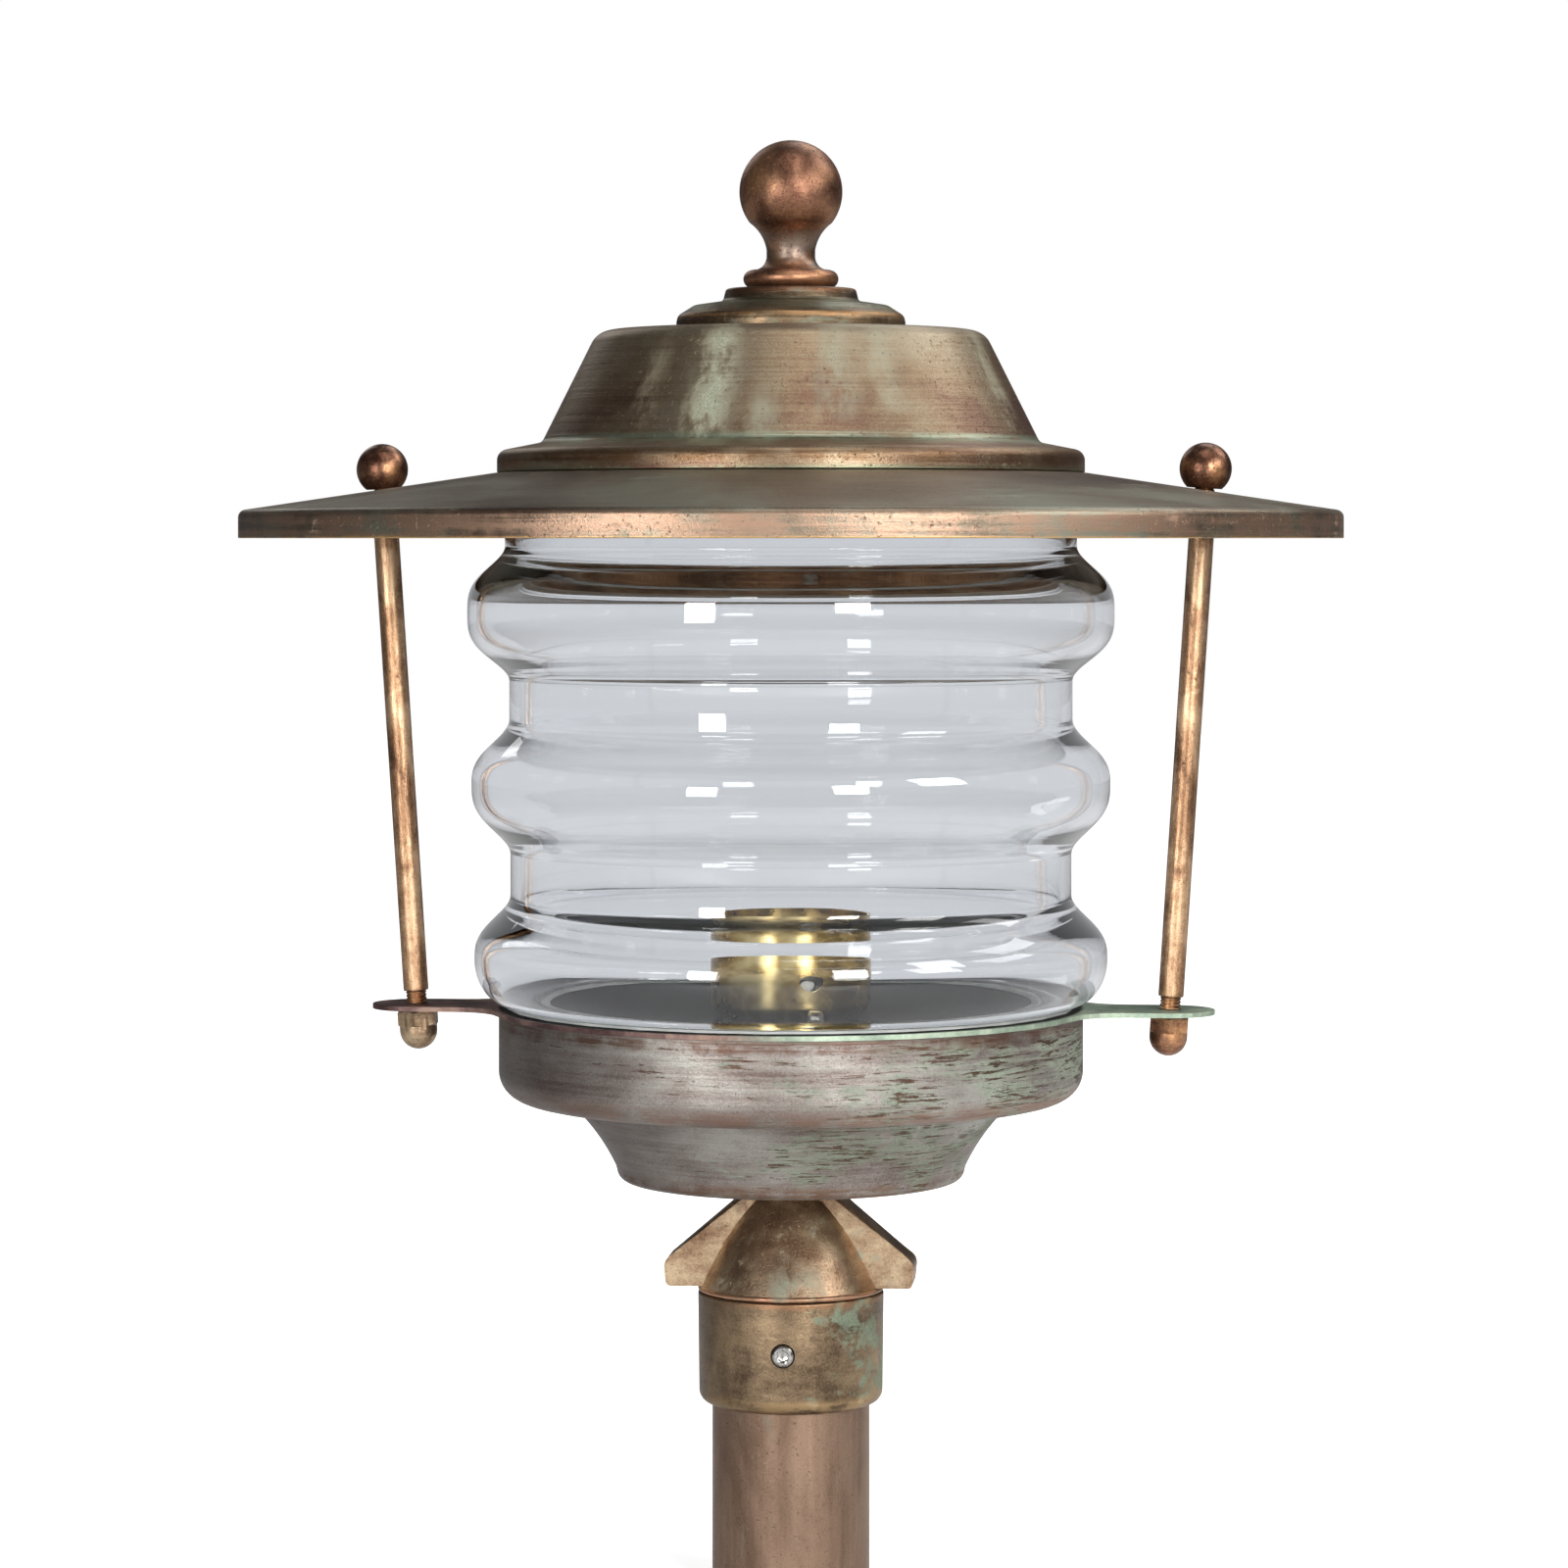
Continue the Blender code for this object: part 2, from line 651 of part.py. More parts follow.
def make_nipples():
    ring("lower_nipple", NIPPLE_RADIUS, NIPPLE_BORE, *LOWER_NIPPLE, STEEL, HEAD, TINY_SIDES)
    ring("lamp_nipple", NIPPLE_RADIUS, NIPPLE_BORE, *LAMP_NIPPLE, STEEL, HEAD, TINY_SIDES)
    nuts = {
        "nipple_nut_lower": NECK_CEILING - GAP - NIPPLE_NUT_HEIGHT,
        "nipple_nut_upper": DISH_BOTTOM + SHEET + GAP,
        "lamp_nut_lower": PLATE_BOTTOM - GAP - NIPPLE_NUT_HEIGHT,
        "lamp_nut_upper": LAMP_CUP_BOTTOM + LAMP_CUP_WALL + GAP,
    }
    for name, bottom in nuts.items():
        hex_nut(name, NIPPLE_NUT_FLATS, NIPPLE_NUT_HEIGHT, NIPPLE_HOLE, bottom, STEEL, HEAD)


def make_gland():
    """A dome nut on the lower nipple's top end, which grips the supply cable."""
    bottom = DISH_BOTTOM + SHEET + NIPPLE_NUT_HEIGHT + 2 * GAP
    middle = LOWER_NIPPLE[1] + GAP
    top = bottom + GLAND_HEIGHT
    outline = rounded(
        [
            (GLAND_BORE, top, 0),
            (GLAND_NOSE_RADIUS, top, 0.001),
            (GLAND_RADIUS, middle + 0.001, 0.001),
            (GLAND_RADIUS, bottom, 0),
            (NIPPLE_HOLE, bottom, 0),
            (NIPPLE_HOLE, middle, 0),
            (GLAND_BORE, middle, 0),
        ]
    )
    turned("cable_gland", outline, NYLON, HEAD, SMALL_SIDES)


# ---------------------------------------------------------------- lamp cup and lampholder


def side_drill(obj, radius, start, length, height):
    """A level hole along the side hole's direction, from a distance off the axis outwards."""
    mesh = cylinder_mesh(obj.name + " side drill", radius, length, SMALL_SIDES)
    x, y = around(start + length / 2, SIDE_HOLE_ANGLE)
    turn = (0, pi / 2, SIDE_HOLE_ANGLE)
    boolean(obj, cutter(obj.name + " side drill", mesh, (x, y, height), turn))


def make_lamp_cup():
    outline = rounded(
        [
            (LAMP_CUP_RADIUS, LAMP_CUP_TOP, 0),
            (LAMP_CUP_RADIUS, LAMP_CUP_BOTTOM, 0.0015),
            (NIPPLE_HOLE, LAMP_CUP_BOTTOM, 0),
        ]
    )
    cup = turned("lamp_cup", outline, CUP_BRASS, HEAD, sheet=LAMP_CUP_WALL)
    low = LAMP_CUP_BOTTOM - LAMP_CUP_WALL
    high = LAMP_CUP_BOTTOM + 2 * LAMP_CUP_WALL
    drill(cup, GROMMET_HOLE, low, high, (0, GROMMET_PLACE))
    start = HOLDER_RADIUS + SIDE_HOLE_RADIUS
    side_drill(cup, SIDE_HOLE_RADIUS, start, 2 * SIDE_HOLE_RADIUS, SIDE_HOLE_HEIGHT)


def make_lampholder():
    outline = rounded(
        [
            (HOLDER_BORE, HOLDER_TOP, 0),
            (HOLDER_RADIUS, HOLDER_TOP, 0.001),
            (HOLDER_RADIUS, HOLDER_BOTTOM, 0.002),
            (NIPPLE_HOLE, HOLDER_BOTTOM, 0),
            (NIPPLE_HOLE, HOLDER_FLOOR, 0),
            (HOLDER_BORE, HOLDER_FLOOR, 0),
        ]
    )
    body = turned("lampholder_body", outline, PORCELAIN, HEAD, SMALL_SIDES)
    height = (HOLDER_BOTTOM + HOLDER_FLOOR) / 2
    side_drill(body, M4_HOLE, 0.012, 0.012, height)
    inner = SHELL_RADIUS - SHELL_WALL
    ring("lampholder_shell", SHELL_RADIUS, inner, *SHELL_HEIGHTS, CUP_BRASS, HEAD, SMALL_SIDES)

    low = HOLDER_FLOOR + GAP
    edge = [(-0.011, low), (-0.003, low), (0.004, low + 0.003)]
    edge += [(x, z + CONTACT_SHEET) for x, z in reversed(edge)]
    data = flat_curve("lampholder_contact", [edge], CONTACT_WIDTH)
    piece("lampholder_contact", data, CUP_BRASS, HEAD, rotation=(pi / 2, 0, 0))


def make_lampholder_screw():
    """A radial screw in the lampholder's foot, with its head in the cup's side hole."""
    head_start = HOLDER_RADIUS + GAP
    radius, face, height = HOLDER_SCREW_HEAD
    shank = HOLDER_SCREW_RADIUS
    end = -HOLDER_SCREW_LENGTH
    points = [(0, height), (face, height), (radius, height - (radius - face)), (radius, 0)]
    points += [(shank, 0), (shank, end), (0, end)]
    screw = turned("lampholder_screw", points, STEEL, HEAD, TINY_SIDES)
    x, y = around(head_start + end, SIDE_HOLE_ANGLE)
    screw.location = (x, y, (HOLDER_BOTTOM + HOLDER_FLOOR) / 2)
    screw.rotation_euler = (0, pi / 2, SIDE_HOLE_ANGLE)


# ---------------------------------------------------------------- wiring in the dish


def wire(name, points, look):
    data = bpy.data.curves.new(name, "CURVE")
    data.dimensions = "3D"
    data.bevel_depth = WIRE_RADIUS
    data.bevel_resolution = 2
    data.use_fill_caps = True
    spline = data.splines.new("POLY")
    spline.points.add(len(points) - 1)
    for point, place in zip(spline.points, points):
        point.co = (*place, 1)
    piece(name, data, look, HEAD)


def bend(start, start_pull, end_pull, end, steps):
    """Points on one smooth cubic curve."""
    a, b, c, d = (Vector(p) for p in (start, start_pull, end_pull, end))
    points = []
    for k in range(steps + 1):
        t = k / steps
        u = 1 - t
        points.append(u**3 * a + 3 * u * u * t * b + 3 * u * t * t * c + t**3 * d)
    return points


def make_wiring():
    floor = DISH_BOTTOM + SHEET + GAP
    size = Vector(BLOCK_SIZE)
    mesh = bpy.data.meshes.new("terminal_block")
    build = bmesh.new()
    bmesh.ops.create_cube(build, size=1, matrix=Matrix.Diagonal((*size, 1)))
    build.to_mesh(mesh)
    build.free()
    place = (0, BLOCK_FRONT + size.y / 2, floor + size.z / 2)
    block = piece("terminal_block", mesh, PORCELAIN, HEAD, place)
    edges = block.modifiers.new("Edges", "BEVEL")
    edges.width = 0.001

    height = floor + BLOCK_WIRE_HEIGHT
    for name, side, look in (("wire_live", -1, BROWN_WIRE), ("wire_neutral", 1, BLUE_WIRE)):
        start = Vector((side * BLOCK_WIRE_PLACE, BLOCK_FRONT - GAP, height))
        foot = Vector((side * WIRE_SPACING, GROMMET_PLACE, LAMP_NIPPLE[0]))
        pull = Vector((0, 0.022, 0))
        points = bend(start, start - pull, foot - Vector((0, 0, 0.014)), foot, 12)
        points.append(Vector((foot.x, foot.y, HOLDER_BOTTOM - GAP)))
        wire(name, points, look)

    start = Vector((0, BLOCK_FRONT - WIRE_RADIUS, floor + EARTH_WIRE_HEIGHT))
    x, y = around(EARTH_PLACE, SIDE_HOLE_ANGLE)
    end = Vector((x + 0.0055, y, PLATE_BOTTOM - 0.002))
    wire("wire_earth", bend(start, (0.030, 0.020, floor), (0.040, -0.030, 0.205), end, 16), GREEN_WIRE)

    low = PLATE_BOTTOM - GAP
    high = LAMP_CUP_BOTTOM + LAMP_CUP_WALL + GAP
    neck = GROMMET_HOLE - GAP
    top = high + GROMMET_LIP
    bottom = low - GROMMET_LIP
    points = [(GROMMET_BORE, top), (GROMMET_FLANGE, top), (GROMMET_FLANGE, high), (neck, high)]
    points += [(neck, low), (GROMMET_FLANGE, low), (GROMMET_FLANGE, bottom), (GROMMET_BORE, bottom)]
    grommet = turned("wire_grommet", points, SILICONE, HEAD, TINY_SIDES)
    grommet.location.y = GROMMET_PLACE


def make_earth_screw():
    place = around(EARTH_PLACE, SIDE_HOLE_ANGLE)
    low = PLATE_TOP + GAP
    head, head_height, shank = EARTH_SCREW
    pan_screw("earth_screw", low, low + head_height, head, EARTH_SCREW_END, shank, place, HEAD)
    flats, height, hole = EARTH_NUT
    hex_nut("earth_nut", flats, height, hole, PLATE_BOTTOM - GAP - height, STEEL, HEAD, place)


# ---------------------------------------------------------------- tie rods and their nuts


def make_rod(side, frame):
    """Rod, nuts and washer on one leaning axis. Heights here run along it, from the plate's top."""
    end = {1: "right", -1: "left"}[side]
    nut_top = ROD_NUT_BOTTOM + ROD_NUT_HEIGHT
    across, along = ROD_END_CHAMFER
    points = [(0, ROD_END), (THREAD_RADIUS - across, ROD_END), (THREAD_RADIUS, ROD_END - along)]
    points += [(THREAD_RADIUS, ROD_NUT_BOTTOM - GAP), (ROD_RADIUS, ROD_NUT_BOTTOM - GAP)]
    points += [(ROD_RADIUS, ROD_SHOULDER), (THREAD_RADIUS, ROD_SHOULDER)]
    points += [(THREAD_RADIUS, ROD_THREAD_END), (0, ROD_THREAD_END)]
    turned(f"tie_rod_{end}", points, BRASS, frame, TINY_SIDES)

    hex_nut(f"rod_nut_{end}", ROD_NUT_FLATS, ROD_NUT_HEIGHT, THREAD_HOLE, ROD_NUT_BOTTOM, STEEL, frame)
    low = nut_top + GAP
    washer = ROD_WASHER_RADIUS
    ring(f"rod_washer_{end}", washer, THREAD_HOLE, low, low + SHEET, STEEL, frame, TINY_SIDES)

    look = {1: COPPER, -1: BRASS}[side]
    make_cap_nut(f"cap_nut_{end}", look, frame)
    make_ball_nut(f"ball_nut_{end}", frame)


def make_cap_nut(name, look, frame):
    """A hexagon with a dome below it, bored from the top."""
    bottom = CAP_NUT_TOP - CAP_NUT_HEIGHT
    hex_low = CAP_NUT_TOP - CAP_NUT_HEX
    sphere = bottom + CAP_NUT_DOME
    points = [(0, hex_low + 0.001), (CAP_NUT_DOME, hex_low + 0.001)]
    points += arc((0, sphere), CAP_NUT_DOME, 0, -pi / 2, 6)[:-1]
    points.append((0, bottom))
    nut = turned(name, points, look, frame, SMALL_SIDES)
    hexagon = cylinder_mesh(name + " hexagon", CAP_NUT_FLATS / sqrt(3), CAP_NUT_HEX, 6)
    middle = (0, 0, CAP_NUT_TOP - CAP_NUT_HEX / 2)
    boolean(nut, cutter(name + " hexagon", hexagon, middle, parent=frame), "UNION")
    depth = CAP_NUT_TOP - ROD_THREAD_END + 0.0007
    bore = cylinder_mesh(name + " bore", THREAD_HOLE, 2 * depth)
    boolean(nut, cutter(name + " bore", bore, (0, 0, CAP_NUT_TOP), parent=frame))


def make_ball_nut(name, frame):
    """A ball with a flat foot, bored from below. Its bore is wide, to lift off the leaning rod."""
    last = -atan2(BALL_FLAT, sqrt(BALL_RADIUS**2 - BALL_FLAT**2))
    ceiling = ROD_END + 0.001
    points = arc((0, ROD_LENGTH), BALL_RADIUS, pi / 2, last, 7)
    points[0] = (0, ROD_LENGTH + BALL_RADIUS)
    points += [(BALL_BORE, ROD_LENGTH - BALL_FLAT), (BALL_BORE, ceiling), (0, ceiling)]
    turned(name, points, COPPER, frame, SMALL_SIDES)


# ---------------------------------------------------------------- glass


def swell(distance, height, power):
    """1 at a bulge's peak, falling smoothly to 0 where the bulge ends."""
    share = min(1.0, distance / height)
    return (1 + cos(pi * share**power)) / 2


def glass_profile(wall=0.0, foot_wall=0.0, cut_above=0.0, cut_below=0.0):
    """The glass's side from its top edge to its foot, set in by the walls, with flanks cut shorter."""
    between = [radius - wall for radius in (GLASS_NECK, *GLASS_VALLEYS)]
    points = [(between[0], GLASS_TOP)]
    for number, bulge in enumerate(GLASS_BULGES):
        peak, radius, above, power_above, below, power_below = bulge
        radius -= wall
        above -= cut_above
        swing = radius - between[number]
        for k in range(GLASS_STEPS):
            distance = above * (1 - k / GLASS_STEPS)
            points.append((between[number] + swing * swell(distance, above, power_above), peak + distance))
        if number + 1 < len(GLASS_BULGES):
            below -= cut_below
            swing = radius - between[number + 1]
            for k in range(GLASS_STEPS + 1):
                distance = below * k / GLASS_STEPS
                share = swell(distance, below, power_below)
                points.append((between[number + 1] + swing * share, peak - distance))
        else:
            foot = GLASS_FOOT - foot_wall
            for k in range(GLASS_STEPS + 1):
                angle = k / GLASS_STEPS * pi / 2
                reach = foot + (radius - foot) * cos(angle)
                points.append((reach, peak - below * sin(angle)))
    return points


def make_glass():
    outer = glass_profile()
    inner = glass_profile(GLASS_WALL, GLASS_FOOT_WALL, INNER_CUT_ABOVE, INNER_CUT_BELOW)
    turned("ribbed_glass", outer + inner[::-1], GLASS, GLASS_LIFT)
    low = PLATE_TOP + GAP
    ring("lower_gasket", *LOWER_GASKET, low, low + GASKET_HEIGHT, SILICONE, HEAD)
    low = GLASS_TOP + GAP
    ring("upper_gasket", *UPPER_GASKET, low, low + 2 * GASKET_HEIGHT, SILICONE, ROOF_LIFT)


# ---------------------------------------------------------------- roof


def make_brim():
    outline = rounded(
        [
            (BRIM_INNER, BRIM_TOP, 0),
            (BRIM_KNEE, BRIM_TOP, 0),
            (RIM_RADIUS, RIM_TOP, RIM_ROUNDING),
            (RIM_RADIUS, RIM_BOTTOM, 0),
        ]
    )
    brim = turned("roof_brim", outline, COPPER_PATINA, ROOF_LIFT, BRIM_SIDES, SHEET)
    for side in (1, -1):
        drill(brim, BRIM_HOLE, RIM_TOP, BRIM_TOP + SHEET, (side * BRIM_HOLE_PLACE, 0))
    for angle in ROOF_SCREW_ANGLES:
        drill(brim, M4_HOLE, BRIM_TOP - 2 * SHEET, BRIM_TOP + SHEET, around(ROOF_SCREW_CIRCLE, angle))


def make_crown():
    head, foot, shoulder = CROWN_ROUNDINGS
    outline = rounded(
        [
            (THREAD_HOLE, CROWN_CONE_HEAD[1], 0),
            (*CROWN_CONE_HEAD, head),
            (*CROWN_CONE_FOOT, foot),
            (CROWN_RADIUS, CROWN_SHOULDER, shoulder),
            (CROWN_RADIUS, CROWN_FOOT, 0),
            (BRIM_INNER, CROWN_FOOT, 0),
        ]
    )
    crown = turned("roof_crown", outline, COPPER_PATINA, ROOF_LIFT, sheet=SHEET)
    for angle in ROOF_SCREW_ANGLES:
        place = around(ROOF_SCREW_CIRCLE, angle)
        drill(crown, M4_HOLE, CROWN_FOOT - SHEET, CROWN_FOOT + 2 * SHEET, place)


def make_gallery():
    """A ring under the brim that presses on the glass's top edge and stands round it."""
    web = GLASS_TOP + 2 * GASKET_HEIGHT + 2 * GAP
    points = [
        (GALLERY_SKIRT, web + SHEET),
        (GALLERY_SKIRT, GALLERY_SKIRT_BOTTOM),
        (GALLERY_SKIRT - SHEET, GALLERY_SKIRT_BOTTOM),
        (GALLERY_SKIRT - SHEET, web),
        (GALLERY_UPSTAND - SHEET, web),
        (GALLERY_UPSTAND - SHEET, GALLERY_TOP - SHEET),
        (BRIM_INNER, GALLERY_TOP - SHEET),
        (BRIM_INNER, GALLERY_TOP),
        (GALLERY_UPSTAND, GALLERY_TOP),
        (GALLERY_UPSTAND, web + SHEET),
    ]
    gallery = turned("gallery_ring", points, BRASS, ROOF_LIFT)
    for angle in ROOF_SCREW_ANGLES:
        place = around(ROOF_SCREW_CIRCLE, angle)
        drill(gallery, M4_HOLE, GALLERY_TOP - 2 * SHEET, GALLERY_TOP + SHEET, place)


def make_roof_screws():
    nut_low = CROWN_FOOT + SHEET + GAP
    flats, height = ROOF_NUT
    head_high = GALLERY_TOP - SHEET - GAP
    head, head_height = ROOF_SCREW_HEAD
    head_low = head_high - head_height
    end = nut_low + ROOF_SCREW_LENGTH
    for number, angle in enumerate(ROOF_SCREW_ANGLES, 1):
        place = around(ROOF_SCREW_CIRCLE, angle)
        name = f"roof_screw_{number}"
        pan_screw(name, head_low, head_high, head, end, M4_RADIUS, place, ROOF_LIFT)
        hex_nut(f"roof_nut_{number}", flats, height, M4_HOLE, nut_low, STEEL, ROOF_LIFT, place)


def make_boss():
    top_radius, step_radius, step = BOSS_STEP
    shoulder_start, shoulder_end, start_depth, end_depth = BOSS_DISC
    step_rounding, disc_rounding = BOSS_ROUNDINGS
    outline = rounded(
        [
            (THREAD_HOLE, BOSS_TOP, 0),
            (top_radius, BOSS_TOP, step_rounding),
            (step_radius, BOSS_TOP - step, 0),
            (shoulder_start, BOSS_TOP - start_depth, disc_rounding),
            (shoulder_end, BOSS_TOP - end_depth, disc_rounding),
            (BOSS_RADIUS, BOSS_BOTTOM, 0),
            (THREAD_HOLE, BOSS_BOTTOM, 0),
        ]
    )
    turned("finial_boss", outline, COPPER, ROOF_LIFT)


def make_finial():
    """A ball on a waist and a beaded foot, bored from below."""
    ball = arc((0, FINIAL_BALL_HEIGHT), FINIAL_BALL_RADIUS, pi / 2, FINIAL_BALL_END, 7)
    ball[0] = (0, FINIAL_BALL_HEIGHT + FINIAL_BALL_RADIUS)
    waist_low, waist_high = FINIAL_WAIST_HEIGHTS
    bead_centre = (FINIAL_FOOT_RADIUS - FINIAL_BEAD, FINIAL_BOTTOM + FINIAL_BEAD)
    bead = arc(bead_centre, FINIAL_BEAD, pi / 2, -pi / 2, 5)
    upper_sag, lower_sag = FINIAL_SAGS
    upper_cove = bowed(ball[-1], (FINIAL_WAIST, waist_high), upper_sag, 4)
    lower_cove = bowed((FINIAL_WAIST, waist_low), bead[0], lower_sag, 4)
    bore = [(THREAD_HOLE, FINIAL_BOTTOM), (THREAD_HOLE, FINIAL_BORE_TOP), (0, FINIAL_BORE_TOP)]
    outline = ball + upper_cove[1:] + lower_cove + bead[1:] + bore
    turned("finial", outline, COPPER, ROOF_LIFT, SMALL_SIDES)


def make_finial_fixing():
    """The stud up into the finial, and its washer and nut under the crown."""
    under = CROWN_CONE_HEAD[1] - SHEET - GAP
    stud_low = under - STUD_DEPTH
    stud_high = FINIAL_BORE_TOP - 0.0005
    points = [(0, stud_high), (THREAD_RADIUS, stud_high), (THREAD_RADIUS, stud_low), (0, stud_low)]
    turned("finial_stud", points, STEEL, ROOF_LIFT, TINY_SIDES)
    low = under - SHEET
    ring("crown_washer", CROWN_WASHER_RADIUS, THREAD_HOLE, low, under, STEEL, ROOF_LIFT, TINY_SIDES)
    nut_low = low - GAP - ROD_NUT_HEIGHT
    hex_nut("crown_nut", ROD_NUT_FLATS, ROD_NUT_HEIGHT, THREAD_HOLE, nut_low, STEEL, ROOF_LIFT)


clear_scene()
LANTERN = new_collection("ship_lantern")
CUTTERS = new_collection("cutters")
HEAD = empty("head_swivel_axis")
ROOF_LIFT = empty("roof_lift_axis", HEAD)
GLASS_LIFT = empty("glass_lift_axis", HEAD)

make_pole()
make_collar()
make_neck()
make_set_screw()
make_lower_cup()
make_dish()
make_lug_plate()
make_pillars()
make_nipples()
make_gland()
make_lamp_cup()
make_lampholder()
make_lampholder_screw()
make_wiring()
make_earth_screw()
for side in (1, -1):
    axis_name = {1: "rod_axis_right", -1: "rod_axis_left"}[side]
    rod_axis = empty(axis_name, HEAD, (side * LUG_CENTRE, 0, PLATE_TOP), side * ROD_LEAN)
    make_rod(side, rod_axis)
make_glass()
make_brim()
make_crown()
make_gallery()
make_roof_screws()
make_boss()
make_finial()
make_finial_fixing()
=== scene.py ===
"""Looks of the post-top ship's lantern: finer turned metal, ribbed glass and weathered copper, round the
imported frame. Metres, in the frame's own coordinates. Every piece's place comes from the frame's nodes."""

import json
from math import asin, atan2, ceil, cos, degrees, pi, radians, sin, sqrt, tan

import bmesh
import bpy
from mathutils import Matrix, Vector


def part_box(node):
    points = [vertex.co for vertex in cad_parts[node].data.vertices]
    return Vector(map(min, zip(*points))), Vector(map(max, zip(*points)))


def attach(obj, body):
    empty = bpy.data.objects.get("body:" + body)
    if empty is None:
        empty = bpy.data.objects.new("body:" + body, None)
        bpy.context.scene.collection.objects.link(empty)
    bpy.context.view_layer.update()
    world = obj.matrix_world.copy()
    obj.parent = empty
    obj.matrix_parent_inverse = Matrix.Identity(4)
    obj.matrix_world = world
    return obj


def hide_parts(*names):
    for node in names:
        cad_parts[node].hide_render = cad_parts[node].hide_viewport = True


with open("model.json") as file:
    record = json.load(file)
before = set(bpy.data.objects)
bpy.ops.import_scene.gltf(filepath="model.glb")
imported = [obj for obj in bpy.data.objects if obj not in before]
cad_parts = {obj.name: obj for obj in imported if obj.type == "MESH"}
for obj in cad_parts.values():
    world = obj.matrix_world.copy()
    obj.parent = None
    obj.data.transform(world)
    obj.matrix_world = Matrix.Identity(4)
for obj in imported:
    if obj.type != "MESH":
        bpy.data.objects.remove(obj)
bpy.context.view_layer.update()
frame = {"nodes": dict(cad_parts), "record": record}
NODES = frame["nodes"]

# Smoothness of turned pieces
FINE_SIDES = 192
SIDES = 96
SMALL_SIDES = 48
NUT_SIDES = 72
ARC_STEP = radians(9)
CREASE = radians(32)

# Sizes shared by several pieces
SHEET = 0.0015  # spun copper
GAP = 0.0003  # between two pieces that touch
NIPPLE_HOLE = 0.0053
STUD_HOLE = 0.0043
ROOF_OPENING = 0.088  # inner edge of the crown and of the brim
ROD_FOOT = 0.1445  # from the axis to where a tie rod goes through its lug
BRIM_HOLE_PLACE = 0.1575
BRIM_HOLE = 0.00525
SIDE_HOLE_ANGLE = radians(-70)
SIDE_HOLE_PLACE = (0.030, 0.0124)  # from the axis, and above the lamp cup's bottom
SIDE_HOLE = 0.0048
NUT_CHAMFER = radians(30)

# Camera
CAMERA_AZIMUTH = radians(5)
CAMERA_DISTANCE = 1.835
CAMERA_LENS = 110.2
CAMERA_SHIFT = (-0.0044, -0.1566)


# ---------------------------------------------------------------- shapes


def rounded(corners):
    """A polyline through (radius, height, rounding) corners, with an arc at each rounded one."""
    points = []
    for i, corner in enumerate(corners):
        here = Vector(corner[:2])
        rounding = corner[2] if len(corner) > 2 else 0
        if not rounding:
            points.append(here)
            continue
        before = (Vector(corners[i - 1][:2]) - here).normalized()
        after = (Vector(corners[(i + 1) % len(corners)][:2]) - here).normalized()
        half = before.angle(after) / 2
        centre = here + (before + after).normalized() * (rounding / sin(half))
        start = here + before * (rounding / tan(half)) - centre
        end = here + after * (rounding / tan(half)) - centre
        first = atan2(start.y, start.x)
        sweep = (atan2(end.y, end.x) - first + pi) % (2 * pi) - pi
        steps = max(3, ceil(abs(sweep) / ARC_STEP))
        for k in range(steps + 1):
            angle = first + sweep * k / steps
            points.append(centre + rounding * Vector((cos(angle), sin(angle))))
    return points


def bowed(start, end, sag, steps=12):
    """Points from start to end on a shallow curve. A positive sag bows it to the left of its way."""
    start = Vector(start)
    end = Vector(end)
    way = (end - start).normalized()
    left = Vector((-way.y, way.x))
    points = []
    for k in range(steps + 1):
        t = k / steps
        points.append(start.lerp(end, t) + left * (4 * sag * t * (1 - t)))
    return points


def arc(centre, radius, first, last, steps):
    """Points on an arc between two angles in degrees."""
    points = []
    for k in range(steps + 1):
        angle = radians(first + (last - first) * k / steps)
        points.append(Vector(centre) + radius * Vector((cos(angle), sin(angle))))
    return points


def shell(outside, thickness):
    """A closed outline: the outside of a sheet, and its inside at one thickness from it."""
    inside = []
    count = len(outside)
    for i, point in enumerate(outside):
        before = outside[max(i - 1, 0)]
        after = outside[min(i + 1, count - 1)]
        way = (Vector(after) - Vector(before)).normalized()
        inside.append(Vector(point) + thickness * Vector((way.y, -way.x)))
    return list(outside) + inside[::-1]


def new_piece(name, build, look, body, stands_for=(), location=None):
    """Ends a bmesh: smooth shading, material, body and the nodes it replaces."""
    bmesh.ops.recalc_face_normals(build, faces=build.faces)
    mesh = bpy.data.meshes.new(name)
    build.to_mesh(mesh)
    build.free()
    mesh.shade_smooth()
    mesh.set_sharp_from_angle(angle=CREASE)
    made = bpy.data.objects.new(name, mesh)
    bpy.context.scene.collection.objects.link(made)
    if location:
        made.matrix_world = location
    bpy.context.view_layer.update()
    mesh.materials.append(look)
    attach(made, body)
    if stands_for:
        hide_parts(*stands_for)
    return made


def columns_to_faces(build, columns, closed):
    """Faces between columns of verts round an axis. Columns may share a vert on the axis."""
    for k, here in enumerate(columns):
        following = columns[(k + 1) % len(columns)]
        for i in range(len(here) if closed else len(here) - 1):
            j = (i + 1) % len(here)
            corners = list(dict.fromkeys((here[i], following[i], following[j], here[j])))
            if len(corners) > 2:
                build.faces.new(corners)


def lathe(points, sides, closed=True):
    """A bmesh turned round Z."""
    build = bmesh.new()
    columns = []
    for k in range(sides):
        angle = 2 * pi * k / sides
        column = []
        for r, z in points:
            if r == 0 and k:
                column.append(columns[0][len(column)])
                continue
            column.append(build.verts.new((r * cos(angle), r * sin(angle), z)))
        columns.append(column)
    columns_to_faces(build, columns, closed)
    return build


def turned(name, points, look, body, stands_for, sides=SIDES, location=None):
    """A piece turned round Z. An outline that starts and ends on the axis is left open there."""
    on_axis = points[0][0] == 0 and points[-1][0] == 0
    build = lathe(points, sides, not on_axis)
    return new_piece(name, build, look, body, stands_for, location)


